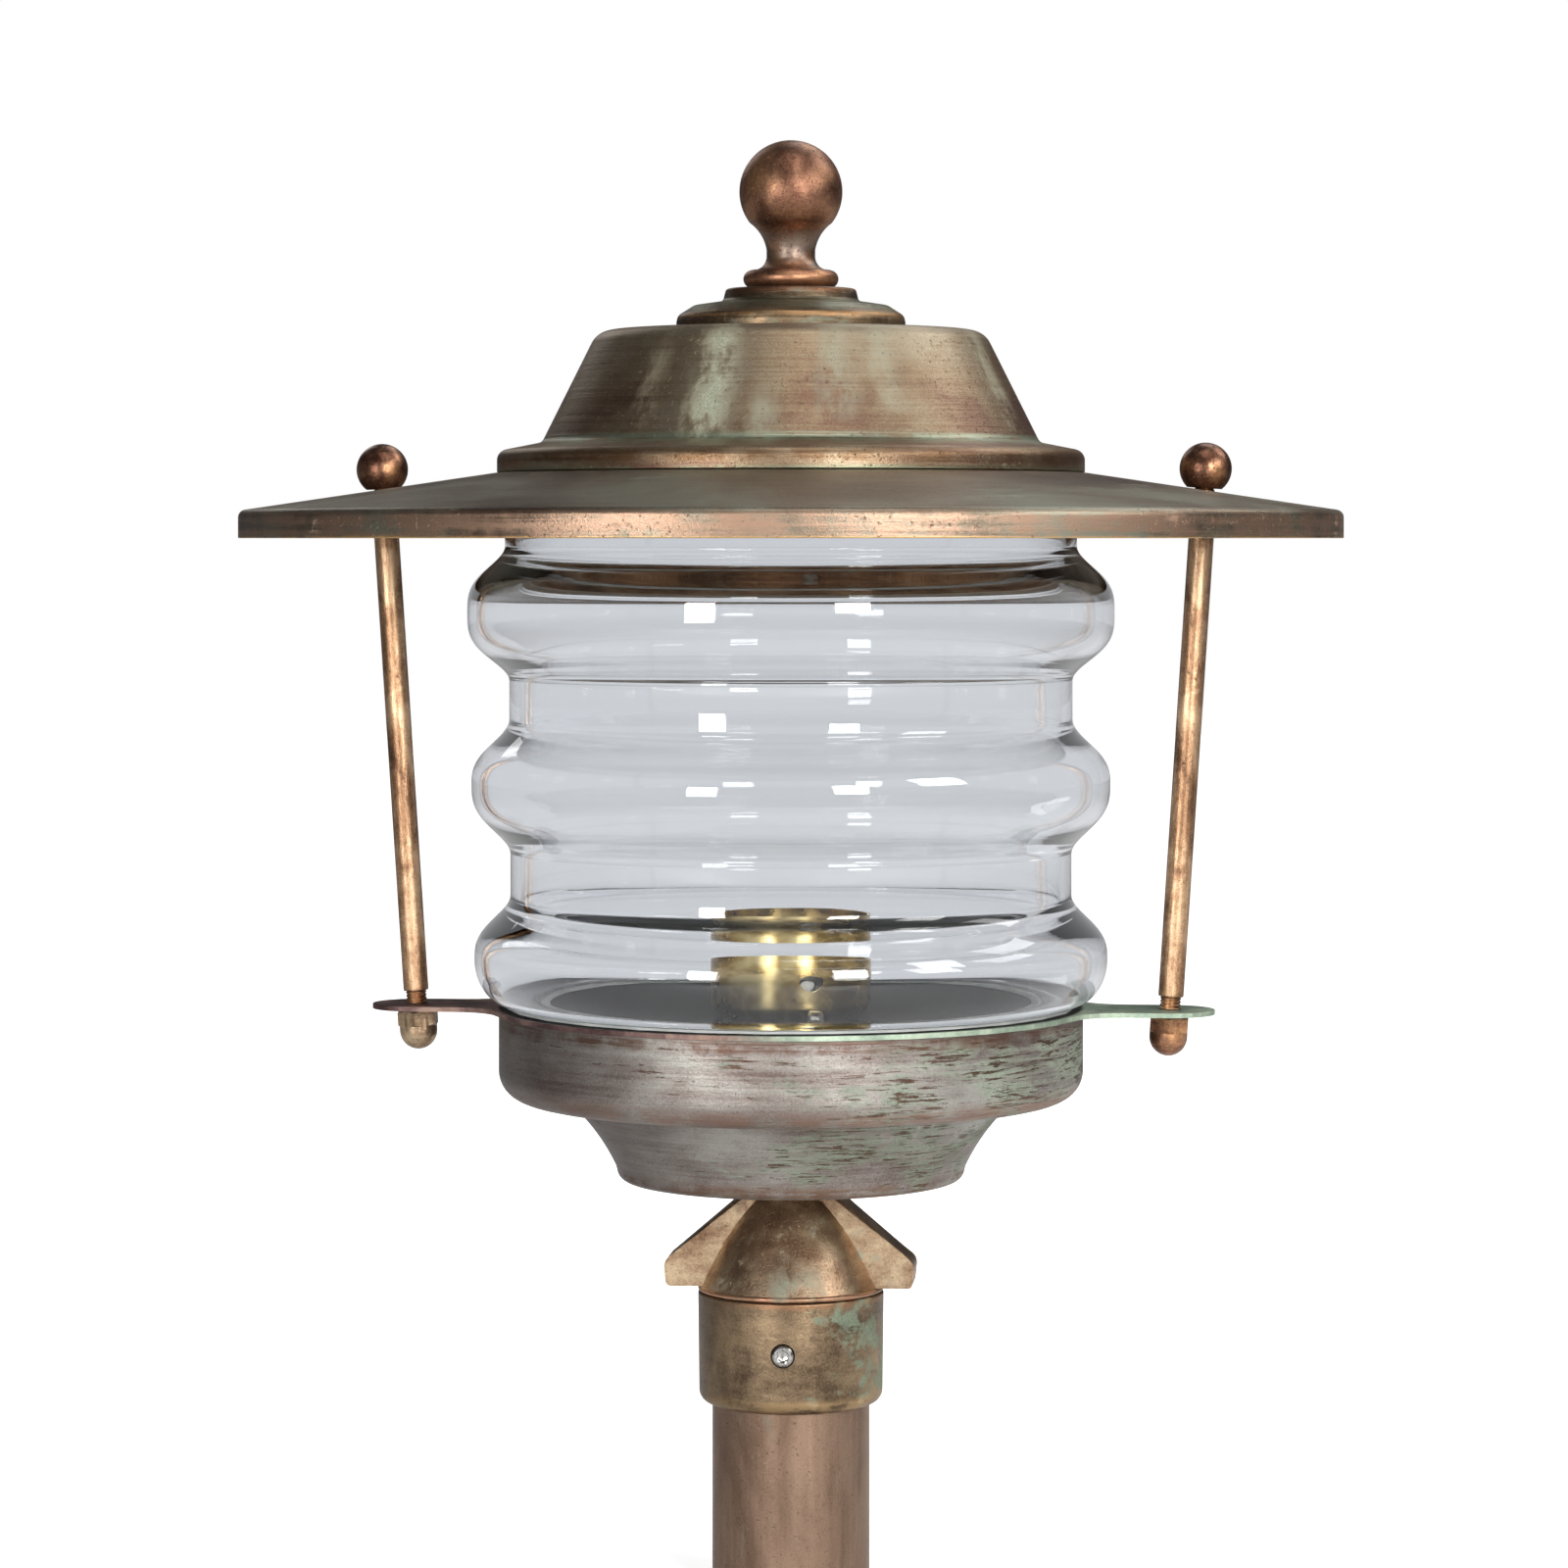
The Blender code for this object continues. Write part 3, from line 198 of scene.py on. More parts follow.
def span(node):
    """(greatest radius, lowest height, highest height) of a round node on the Z axis."""
    low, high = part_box(node)
    return (high.y - low.y) / 2, low.z, high.z


# ---------------------------------------------------------------- material nodes


def srgb(red, green, blue):
    """A colour given in 0 to 255, as the shader's linear values."""
    values = []
    for value in (red, green, blue):
        value /= 255
        values.append(value / 12.92 if value < 0.04045 else ((value + 0.055) / 1.055) ** 2.4)
    return (*values, 1)


class Shader:
    """A material under construction, with short calls for its nodes."""

    def __init__(self, name):
        self.material = bpy.data.materials.new(name)
        self.material.use_nodes = True
        self.tree = self.material.node_tree
        self.principled = self.tree.nodes["Principled BSDF"]
        self.place = self.node("ShaderNodeTexCoord").outputs["Object"]
        apart = self.node("ShaderNodeSeparateXYZ", {"Vector": self.place})
        self.x, self.y, self.z = apart.outputs
        self.from_axis = None

    def node(self, kind, inputs=None, **settings):
        made = self.tree.nodes.new(kind)
        for key, value in settings.items():
            setattr(made, key, value)
        for key, value in (inputs or {}).items():
            if isinstance(value, bpy.types.NodeSocket):
                self.tree.links.new(value, made.inputs[key])
            else:
                made.inputs[key].default_value = value
        return made

    def math(self, operation, a, b=0.0):
        return self.node("ShaderNodeMath", {0: a, 1: b}, operation=operation).outputs[0]

    def add(self, *values):
        total = values[0]
        for value in values[1:]:
            total = self.math("ADD", total, value)
        return total

    def times(self, a, b):
        return self.math("MULTIPLY", a, b)

    def radius(self):
        """Distance from the Z axis, worked out once."""
        if self.from_axis is None:
            squares = self.add(self.times(self.x, self.x), self.times(self.y, self.y))
            self.from_axis = self.math("SQRT", squares)
        return self.from_axis

    def angle(self):
        return self.math("ARCTAN2", self.y, self.x)

    def noise(self, cells, detail=4.0, rough=0.55, distortion=0.0, offset=0.0, spin=0.0):
        """Noise of so many cells a metre along X, Y and Z.

        With a spin, Z is taken along the turned profile, so long grain runs round the piece.
        """
        along = self.z if not spin else self.add(self.z, self.times(self.radius(), spin))
        parts = []
        for axis, count in zip((self.x, self.y, along), cells):
            parts.append(self.math("MULTIPLY_ADD", axis, count))
            parts[-1].node.inputs[2].default_value = offset
        vector = self.node("ShaderNodeCombineXYZ", dict(enumerate(parts))).outputs[0]
        values = {"Vector": vector, "Scale": 1.0, "Detail": detail}
        values |= {"Roughness": rough, "Distortion": distortion}
        return self.node("ShaderNodeTexNoise", values).outputs["Fac"]

    def step(self, value, low, high):
        """0 below low, 1 above high, smooth between. With low over high it falls instead."""
        values = {"Value": value, "From Min": low, "From Max": high}
        made = self.node("ShaderNodeMapRange", values, interpolation_type="SMOOTHSTEP")
        return made.outputs["Result"]

    def mix(self, share, a, b):
        """Colour a at a share of 0, colour b at 1."""
        made = self.node("ShaderNodeMix", {0: share, 6: a, 7: b}, data_type="RGBA")
        return made.outputs[2]

    def ramp(self, value, stops):
        """A colour by value, from (value, colour) stops."""
        made = self.node("ShaderNodeValToRGB", {"Fac": value})
        ramp = made.color_ramp
        for k, (place, colour) in enumerate(stops):
            stop = ramp.elements[k] if k < 2 else ramp.elements.new(place)
            stop.position = place
            stop.color = colour
        return made.outputs["Color"]

    def band(self, low, high, soft, ragged, reach=0.003):
        """1 between two heights, with soft edges that a noise makes ragged."""
        height = self.add(self.z, self.times(self.add(ragged, -0.5), reach))
        rise = self.step(height, low - soft, low + soft)
        fall = self.step(height, high + soft, high - soft)
        return self.times(rise, fall)

    def run(self, degrees, width, low, high, ragged):
        """A run down a slope at one direction round the axis, between two heights."""
        wander = self.times(self.add(ragged, -0.5), radians(9))
        turn = self.add(self.angle(), -radians(degrees), wander)
        across = self.step(self.math("ABSOLUTE", turn), radians(width), 0.0)
        return self.times(across, self.band(low, high, 0.007, ragged, 0.030))

    def finish(self, colour, roughness, metallic, bump=None, strength=0.3, distance=0.0005):
        """Sets or links the shader's main inputs, adds the bump and returns the material."""
        pairs = (("Base Color", colour), ("Roughness", roughness), ("Metallic", metallic))
        for name, value in pairs:
            if isinstance(value, bpy.types.NodeSocket):
                self.tree.links.new(value, self.principled.inputs[name])
            else:
                self.principled.inputs[name].default_value = value
        if bump is not None:
            values = {"Height": bump, "Strength": strength, "Distance": distance}
            made = self.node("ShaderNodeBump", values)
            self.tree.links.new(made.outputs["Normal"], self.principled.inputs["Normal"])
        return self.material


VERDIGRIS = srgb(146, 156, 134)
SOOT = srgb(38, 30, 24)
SHADE_UMBER = srgb(58, 44, 38)  # painted shade, for the darker side of a piece
FLECKS = srgb(84, 60, 48)
FLECK_EDGE = 0.012


def weathered(
    name,
    metal,
    green=VERDIGRIS,
    green_level=0.60,
    green_soft=0.06,
    grain=(20, 20, 500),
    patches=(18, 18, 24),
    spin=0.0,
    runs=(),
    stains=None,
    stain_grain=(26, 26, 700),
    stain_level=0.60,
    stain_lean=0.0,
    bands=(),
    lean=0.0,
    painted_shade_side=None,
    shine=0.36,
    pits=0.55,
    offset=0.0,
):
    """Weathered copper alloy, with painted shade on one side and painted highlights in some bands.

    metal is its dark, middle and light colour. green_level is the noise level over which verdigris shows.
    grain and patches are cells a metre. runs are (degrees, width, low, high, strength) of verdigris.
    stains is the colour of dark flecks. bands are (low, high, softness, colour, strength) by height: tints of
    wear and verdigris, and painted highlights on some edges.
    lean makes +X greener, and stain_lean makes it more flecked. The side range is (from, to, strength) along
    X: painted shade, darker towards -X.
    """
    s = Shader(name)
    dark, middle, light = metal
    cloud = s.noise(patches, detail=7, rough=0.62, distortion=0.5, offset=offset)
    brushed = s.noise(grain, detail=5, rough=0.6, offset=offset + 3, spin=spin)
    fine = s.noise((1300, 1300, 1300), detail=3, rough=0.7, offset=offset + 5)
    tone = s.add(s.times(cloud, 0.60), s.times(brushed, 0.18), s.times(fine, 0.22))
    colour = s.ramp(tone, ((0.41, dark), (0.50, middle), (0.59, light)))

    spread_cells = [2.2 * value for value in patches]
    spread = s.noise(spread_cells, detail=9, rough=0.70, distortion=0.5, offset=offset + 9)
    crust = s.add(s.times(spread, 0.70), s.times(brushed, 0.20), s.times(fine, 0.10))
    if lean:
        crust = s.add(crust, s.times(s.x, lean))
    share = s.times(s.step(crust, green_level - green_soft, green_level + green_soft), 0.85)
    drip = s.noise((160, 160, 26), detail=6, rough=0.7, offset=offset + 15)
    for degrees, width, low, high, strength in runs:
        streak = s.times(s.run(degrees, width, low, high, drip), s.step(s.add(drip, crust), 0.78, 1.10))
        share = s.math("MAXIMUM", share, s.times(streak, strength))
    shade = s.mix(s.step(fine, 0.35, 0.65), green, [0.62 * value for value in green[:3]] + [1])
    colour = s.mix(share, colour, shade)

    if stains:
        streak = s.noise(stain_grain, detail=8, rough=0.72, distortion=0.3, offset=offset + 21, spin=spin)
        streak = s.add(s.times(streak, 0.62), s.times(spread, 0.38))
        if stain_lean:
            streak = s.add(streak, s.times(s.x, stain_lean))
        flecks = s.step(streak, stain_level - FLECK_EDGE, stain_level + FLECK_EDGE)
        colour = s.mix(s.times(flecks, 0.92), colour, stains)
        share = s.times(share, s.math("SUBTRACT", 1.0, flecks))

    ragged = s.noise((70, 70, 70), detail=5, rough=0.65, offset=offset + 31)
    # Bands by height: worn tints and verdigris lines, and painted highlights on some edges.
    for low, high, soft, tint, strength in bands:
        wear_and_highlight = s.step(s.add(brushed, ragged), 0.80, 1.12)
        amount = s.times(s.band(low, high, soft, ragged), s.times(wear_and_highlight, strength))
        colour = s.mix(amount, colour, tint)

    # Painted shade: the colour darkens towards -X, where the lights fall off.
    if painted_shade_side:
        start, end, strength = painted_shade_side
        colour = s.mix(s.times(s.step(s.x, start, end), strength), colour, SHADE_UMBER)

    pitted = s.noise((620, 620, 620), detail=4, rough=0.75, offset=offset + 41)
    pitted = s.step(pitted, 0.60, 0.68)
    colour = s.mix(s.times(pitted, pits), colour, SOOT)
    rough = s.add(shine, s.times(share, 0.35), s.times(cloud, 0.14))
    rough = s.add(rough, s.times(pitted, 0.15))
    metallic = s.math("SUBTRACT", 0.92, s.times(share, 0.65))
    relief = s.add(s.times(brushed, 0.35), s.times(crust, 0.9), s.times(fine, 0.25), s.times(pitted, -0.5))
    return s.finish(colour, rough, metallic, relief, 0.45, 0.0006)


def plain_metal(name, colour, dark, roughness=0.3):
    """Clean metal with fine grain and faint stains."""
    s = Shader(name)
    cloud = s.noise((60, 60, 60), detail=5)
    brushed = s.noise((800, 800, 800), detail=3)
    colour = s.mix(s.times(s.step(cloud, 0.45, 0.75), 0.7), colour, dark)
    rough = s.add(roughness, s.times(cloud, 0.15))
    return s.finish(colour, rough, 1.0, brushed, 0.15, 0.0002)


def plain_solid(name, colour, shade, roughness):
    """Plastic, rubber or ceramic with slight mottling."""
    s = Shader(name)
    cloud = s.noise((90, 90, 90), detail=5)
    colour = s.mix(s.step(cloud, 0.35, 0.7), colour, shade)
    rough = s.add(roughness, s.times(cloud, 0.12))
    return s.finish(colour, rough, 0.0, cloud, 0.08, 0.0003)


def clear_glass():
    """Clear blown glass. Its sides wave a little, which the bump carries."""
    s = Shader("clear_glass")
    wave = s.noise((16, 16, 40), detail=2, rough=0.4)
    shader = s.principled
    shader.inputs["Transmission Weight"].default_value = 1.0
    shader.inputs["IOR"].default_value = 1.5
    tint = s.mix(s.step(wave, 0.3, 0.7), (0.945, 0.957, 0.960, 1), (0.930, 0.945, 0.952, 1))
    return s.finish(tint, 0.0, 0.0, wave, 0.12, 0.0008)


# ---------------------------------------------------------------- pieces


METALS = {
    "finial": (srgb(92, 60, 46), srgb(138, 100, 78), srgb(186, 138, 98)),
    "crown": (srgb(114, 88, 72), srgb(138, 118, 94), srgb(152, 140, 118)),
    "brim": (srgb(92, 76, 64), srgb(118, 106, 90), srgb(136, 134, 118)),
    "rod": (srgb(112, 82, 60), srgb(168, 130, 98), srgb(214, 178, 142)),
    "dish": (srgb(112, 98, 92), srgb(146, 138, 132), srgb(170, 168, 160)),
    "neck": (srgb(112, 86, 66), srgb(154, 128, 102), srgb(190, 168, 138)),
    "collar": (srgb(88, 72, 56), srgb(134, 114, 90), srgb(166, 142, 110)),
    "pole": (srgb(120, 97, 80), srgb(140, 115, 97), srgb(154, 129, 109)),
}


def make_pole():
    """The stub of pole, with eased ends."""
    radius, low, high = span("pole_tube")
    wall = 0.003
    points = rounded(
        [(radius - wall, high), (radius, high, 0.0005), (radius, low, 0.0004), (radius - wall, low)]
    )
    look = weathered(
        "pole_bronze",
        METALS["pole"],
        green=srgb(140, 138, 122),
        green_level=0.62,
        grain=(260, 260, 9),
        patches=(40, 40, 16),
        pits=0.45,
        shine=0.38,
        offset=2.0,
    )
    turned("pole", points, look, "pole", ["pole_tube"])


def make_collar():
    """The sleeve round the pole, with a hole for the set screw."""
    radius, low, high = span("post_collar")
    bore = 0.0304
    taper = 0.0005
    points = rounded(
        [(bore, high), (radius, high, 0.0008), (radius - taper, low, 0.0048), (bore, low, 0.0004)]
    )
    # Painted highlights: golden bands on the collar's top and foot edges.
    top = (high - 0.0020, high, 0.0008, srgb(150, 112, 84), 0.8)
    foot = (low, low + 0.0055, 0.0015, srgb(170, 142, 104), 0.8)
    look = weathered(
        "collar_bronze",
        METALS["collar"],
        green=srgb(126, 140, 118),
        green_level=0.625,
        green_soft=0.03,
        grain=(60, 60, 240),
        patches=(30, 30, 30),
        lean=3.4,
        bands=(top, foot),
        # painted shade on the collar's left side
        painted_shade_side=(-0.012, -0.040, 0.6),
        shine=0.30,
        pits=0.45,
        offset=4.0,
    )
    collar = turned("collar", points, look, "head", ["post_collar"])
    centre = sum(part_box("set_screw"), Vector()) / 2
    across = Matrix.Translation(centre) @ Matrix.Rotation(pi / 2, 4, "X")
    screw_hole = 0.0046
    drill(collar, rod_shape(screw_hole, 0.02, across))


def rod_shape(radius, length, place):
    """A bmesh cylinder, to cut holes with."""
    build = bmesh.new()
    bmesh.ops.create_cone(
        build, cap_ends=True, segments=SMALL_SIDES, radius1=radius, radius2=radius, depth=length, matrix=place
    )
    return build


def drill(obj, build, operation="DIFFERENCE"):
    """Cuts a bmesh's shape out of an object, or joins it on, for good."""
    bmesh.ops.recalc_face_normals(build, faces=build.faces)
    mesh = bpy.data.meshes.new("drill")
    build.to_mesh(mesh)
    build.free()
    tool = bpy.data.objects.new("drill", mesh)
    bpy.context.scene.collection.objects.link(tool)
    cut = obj.modifiers.new("Cut", "BOOLEAN")
    cut.object = tool
    cut.operation = operation
    cut.solver = "EXACT"
    bpy.context.view_layer.update()
    graph = bpy.context.evaluated_depsgraph_get()
    done = bpy.data.meshes.new_from_object(obj.evaluated_get(graph))
    obj.modifiers.remove(cut)
    old = obj.data
    obj.data = done
    bpy.data.meshes.remove(old)
    bpy.data.objects.remove(tool)
    done.shade_smooth()
    done.set_sharp_from_angle(angle=CREASE)


def fin_shape(reach, top, bottom):
    """Both fins as one bmesh, with rounded edges: a plate across the neck."""
    thickness = 0.020
    top_reach = 0.012
    tip_height = 0.0093
    undercut = 0.001
    tip = (reach, bottom + tip_height, 0.005)
    heel = (reach - undercut, bottom, 0.002)
    half = rounded([(top_reach, top), tip, heel, (0, bottom)])[:-1]
    outline = [(p.x, p.y) for p in half] + [(-p.x, p.y) for p in reversed(half)]
    build = bmesh.new()
    front = [build.verts.new((x, -thickness / 2, z)) for x, z in outline]
    back = [build.verts.new((x, thickness / 2, z)) for x, z in outline]
    build.faces.new(front)
    build.faces.new(back[::-1])
    count = len(outline)
    rims = []
    for k in range(count):
        j = (k + 1) % count
        build.faces.new((front[j], front[k], back[k], back[j]))
        rims.append(build.edges.get((front[k], front[j])))
        rims.append(build.edges.get((back[k], back[j])))
    bmesh.ops.bevel(build, geom=rims, offset=0.0016, segments=4, affect="EDGES", profile=0.5)
    bmesh.ops.recalc_face_normals(build, faces=build.faces)
    return build


def make_neck():
    """A hollow cone with a beaded foot and a spigot, and the two fins in one piece with it."""
    low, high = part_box("neck_casting")
    radius, _, collar_top = span("post_collar")
    foot = collar_top + GAP
    bead = 0.001
    fin_bottom = foot + 0.0021
    head = 0.010
    sag = 0.0022
    spigot = 0.0301
    hollow = 0.027
    hollow_head = (0.010, 0.138)
    cone = bowed((head, high.z), (radius - bead, foot + 2 * bead), sag, 20)
    edge = arc((radius - bead, foot + bead), bead, 90, -90, 10)
    points = [(NIPPLE_HOLE, high.z), *cone, *edge[1:], (spigot, foot), (spigot, low.z), (hollow, low.z)]
    points += [(hollow, fin_bottom), hollow_head, (NIPPLE_HOLE, hollow_head[1])]
    look = weathered(
        "neck_bronze",
        METALS["neck"],
        green=srgb(150, 156, 136),
        green_level=0.60,
        grain=(80, 80, 200),
        patches=(34, 34, 30),
        # The bead's copper band is a painted highlight.
        bands=((foot, foot + 2 * bead, 0.0006, srgb(184, 136, 108), 0.9),),
        runs=((-84, 34, foot + 0.003, foot + 0.012, 0.9),),
        shine=0.28,
        pits=0.45,
        offset=6.4,
    )
    neck = turned("neck", points, look, "head", ["neck_casting"])
    drill(neck, fin_shape(high.x, high.z, fin_bottom), "UNION")
    past = 0.001
    bore = [(0, high.z + past), (NIPPLE_HOLE, high.z + past), (NIPPLE_HOLE, hollow_head[1]), hollow_head]
    bore += [(hollow, fin_bottom), (hollow, fin_bottom - past), (0, fin_bottom - past)]
    drill(neck, lathe(bore, SMALL_SIDES, False))


def hex_reach(radius, flats, angle):
    """How far a hexagon reaches at an angle, within a radius."""
    return min(radius, flats / 2 / cos((angle + pi / 6) % (pi / 3) - pi / 6))


def hexed(name, outline_at, sides, closed, look, body, nodes, place):
    """A piece turned round Z, whose outline changes with the angle."""
    build = bmesh.new()
    columns = []
    for k in range(sides):
        angle = 2 * pi * k / sides
        columns.append([build.verts.new((r * cos(angle), r * sin(angle), z)) for r, z in outline_at(angle)])
    columns_to_faces(build, columns, closed)
    bmesh.ops.remove_doubles(build, verts=build.verts, dist=1e-7)
    return new_piece(name, build, look, body, nodes, place)


def make_set_screw():
    """A polished screw with a hexagon socket in its outer end."""
    s = Shader("polished_steel")
    scratch = s.noise((1500, 1500, 1500), detail=2)
    tone = s.mix(s.step(scratch, 0.4, 0.7), srgb(186, 184, 180), srgb(140, 138, 134))
    rough = s.add(0.22, s.times(scratch, 0.1))
    look = s.finish(tone, rough, 1.0, scratch, 0.05, 0.0001)
    low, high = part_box("set_screw")
    radius = (high.x - low.x) / 2
    half = (high.y - low.y) / 2
    flats = 0.004
    deep = half - 0.003
    point = 0.0012
    chamfer = 0.0007

    def outline(angle):
        socket = hex_reach(radius, flats, angle)
        return [
            (0, -half),
            (radius - point, -half),
            (radius, -half + point),
            (radius, half - chamfer),
            (radius - chamfer, half),
            (flats / sqrt(3) + 0.0002, half),
            (socket, half - 0.0003),
            (socket, deep),
            (0, deep - 0.0008),
        ]

    place = Matrix.Translation((low + high) / 2) @ Matrix.Rotation(pi / 2, 4, "X")
    hexed("hex_set_screw", outline, SMALL_SIDES, False, look, "set_screw", ["set_screw"], place)


def make_dish():
    """The spun dish under the glass."""
    radius, low, high = span("base_dish")
    corner = 0.011
    outside = rounded([(radius, high), (radius, low, corner), (NIPPLE_HOLE, low)])
    look = weathered(
        "dish_copper",
        METALS["dish"],
        green=srgb(142, 154, 134),
        green_level=0.56,
        grain=(14, 14, 560),
        patches=(13, 13, 30),
        spin=1.0,
        stains=FLECKS,
        stain_grain=(70, 70, 900),
        stain_level=0.565,
        stain_lean=0.38,
        # painted shade on the dish's left side
        painted_shade_side=(-0.03, -0.125, 0.75),
        lean=0.75,
        bands=(
            (high - 0.0045, high, 0.0012, srgb(104, 80, 68), 0.95),
            (low, low + 0.0065, 0.003, srgb(138, 110, 96), 0.9),
        ),
        pits=0.30,
        shine=0.36,
        offset=11.0,
    )
    turned("dish", shell(outside, SHEET), look, "head", ["base_dish"], FINE_SIDES)


def make_lower_cup():
    """The flared cup under the dish."""
    radius, low, high = span("lower_cup")
    waist = (radius - 0.0172, low + 0.0055)
    foot = radius - 0.0185
    flare = bowed((radius, high - SHEET), waist, -0.0014)
    corner = rounded([flare[-1], (foot, low, 0.0042), (NIPPLE_HOLE, low)])
    outside = [(radius, high), *flare, *corner[1:]]
    look = weathered(
        "cup_copper",
        METALS["dish"],
        green=srgb(136, 148, 128),
        green_level=0.54,
        grain=(14, 14, 560),
        patches=(17, 17, 34),
        spin=1.0,
        stains=FLECKS,
        stain_grain=(80, 80, 700),
        stain_level=0.565,
        stain_lean=0.50,
        # painted shade on the cup's left side
        painted_shade_side=(-0.015, -0.085, 0.8),
        lean=0.9,
        bands=((low, low + 0.005, 0.002, srgb(112, 84, 66), 0.9),),
        pits=0.30,
        shine=0.36,
        offset=17.0,
    )
    turned("spun_cup", shell(outside, SHEET), look, "head", ["lower_cup"], FINE_SIDES)


def make_plate():
    """The CAD plate. Its floor inside the glass is painted near black as painted shade, with pale dust
    specks, and each lug has its own tone.
    """
    s = Shader("plate_copper")
    cloud = s.noise((30, 30, 30), detail=7, rough=0.65, distortion=0.5)
    fine = s.noise((260, 260, 260), detail=9, rough=0.82, distortion=0.4)
    mottle = s.add(s.times(cloud, 0.7), s.times(fine, 0.3))
    side = s.step(s.x, -0.02, 0.02)
    brown = ((0.40, srgb(78, 56, 54)), (0.50, srgb(116, 92, 88)), (0.60, srgb(156, 130, 116)))
    green = ((0.40, srgb(122, 138, 122)), (0.50, srgb(160, 176, 156)), (0.60, srgb(194, 206, 184)))
    lugs = s.mix(side, s.ramp(mottle, brown), s.ramp(mottle, green))
    # Painted shade: the floor inside the glass is near black, with pale dust specks.
    floor = s.ramp(fine, ((0.42, srgb(9, 9, 8)), (0.58, srgb(20, 19, 15)), (0.70, srgb(128, 116, 78))))
    floor_radius = 0.1115
    fade = 0.001
    under = s.step(s.radius(), floor_radius + fade, floor_radius - fade)
    inside = s.times(under, s.step(s.z, 0.2206, 0.2210))
    colour = s.mix(inside, lugs, floor)
    rough = s.add(0.40, s.times(cloud, 0.3), s.times(inside, 0.4))
    metallic = s.math("SUBTRACT", 0.75, s.times(inside, 0.6))
    look = s.finish(colour, rough, metallic, s.add(cloud, s.times(fine, 0.3)), 0.3, 0.0004)
    NODES["lug_plate"].data.materials[0] = look


def make_lamp_cup():
    """The brass cup round the lampholder, with a hole in its side."""
    radius, low, high = span("lamp_cup")
    wall = 0.0012
    outside = rounded([(radius, high), (radius, low, 0.0022), (NIPPLE_HOLE, low)])
    s = Shader("lamp_cup_brass")
    cloud = s.noise((40, 40, 40), detail=5)
    brushed = s.noise((60, 60, 1400), detail=3)
    tone = s.ramp(cloud, ((0.40, srgb(118, 94, 54)), (0.5, srgb(176, 150, 96)), (0.60, srgb(216, 196, 144))))
    rough = s.add(0.20, s.times(cloud, 0.16))
    look = s.finish(tone, rough, 1.0, brushed, 0.12, 0.0002)
    cup = turned("brass_cup", shell(outside, wall), look, "head", ["lamp_cup"])
    reach, rise = SIDE_HOLE_PLACE
    place = Matrix.Translation((reach * cos(SIDE_HOLE_ANGLE), reach * sin(SIDE_HOLE_ANGLE), low + rise))
    turn = Matrix.Rotation(SIDE_HOLE_ANGLE, 4, "Z") @ Matrix.Rotation(pi / 2, 4, "Y")
    drill(cup, rod_shape(SIDE_HOLE, 0.01, place @ turn))


def make_lampholder():
    """The porcelain body and its threaded shell, and the looks of the pieces that go with them."""
    radius, low, high = span("lampholder_body")
    bore = 0.0143
    floor_height = low + 0.0052
    step = 0.0012
    step_height = low + 0.010
    edge = 0.0006
    points = rounded(
        [
            (bore, high, edge),
            (radius, high, 0.0015),
            (radius, step_height, edge),
            (radius - step, step_height - step, edge),
            (radius - step, low, 0.002),
            (NIPPLE_HOLE, low),
            (NIPPLE_HOLE, floor_height),
            (bore, floor_height),
        ]
    )
    porcelain = plain_solid("porcelain", srgb(232, 230, 222), srgb(214, 210, 198), 0.16)
    turned("lampholder", points, porcelain, "head", ["lampholder_body"])
    NODES["terminal_block"].data.materials[0] = porcelain

    outer, shell_low, shell_high = span("lampholder_shell")
    pitch = 0.0036
    wall = 0.0004
    swing = 0.0004
    steps = 36
    thread = []
    for k in range(steps + 1):
        z = shell_high + (shell_low - shell_high) * k / steps
        thread.append((outer + swing * (cos(2 * pi * (z - shell_low) / pitch) - 1), z))
    points = thread + [(r - wall, z) for r, z in reversed(thread)]
    brass = plain_metal("shell_brass", srgb(206, 176, 104), srgb(150, 118, 60), 0.22)
    turned("thread_shell", points, brass, "head", ["lampholder_shell"])
    NODES["lampholder_contact"].data.materials[0] = brass


def make_finial():
    """A ball on a waisted neck with a beaded foot, and a socket for its stud."""
    radius, low, high = span("finial")
    centre = high - radius
    bead = 0.0034
    foot_radius = 0.0182
    waist = 0.0093
    waist_top = centre - 0.0222
    waist_foot = centre - 0.0253
    socket_top = low + 0.0163
    ball = arc((0, centre), radius, 90, -37, 44)
    ball[0] = Vector((0, high))
    foot = arc((foot_radius - bead, low + bead), bead, 90, -90, 16)
    upper = bowed(ball[-1], (waist, waist_top), -0.0012)
    lower = bowed((waist, waist_foot), foot[0], -0.0014)
    points = ball + upper[1:] + lower + foot[1:]
    points += [(STUD_HOLE, low), (STUD_HOLE, socket_top), (0, socket_top)]
    look = weathered(
        "finial_copper",
        METALS["finial"],
        green=srgb(150, 124, 84),
        green_level=0.66,
        grain=(90, 90, 90),
        patches=(40, 40, 40),
        bands=(
            (low + 0.0075, low + 0.0215, 0.002, srgb(128, 112, 100), 1.0),
            (low + 0.0012, low + 0.0055, 0.0010, srgb(170, 122, 92), 0.7),
        ),
        shine=0.32,
        pits=0.8,
        offset=23.0,
    )
    turned("ball_finial", points, look, "roof", ["finial"], FINE_SIDES)


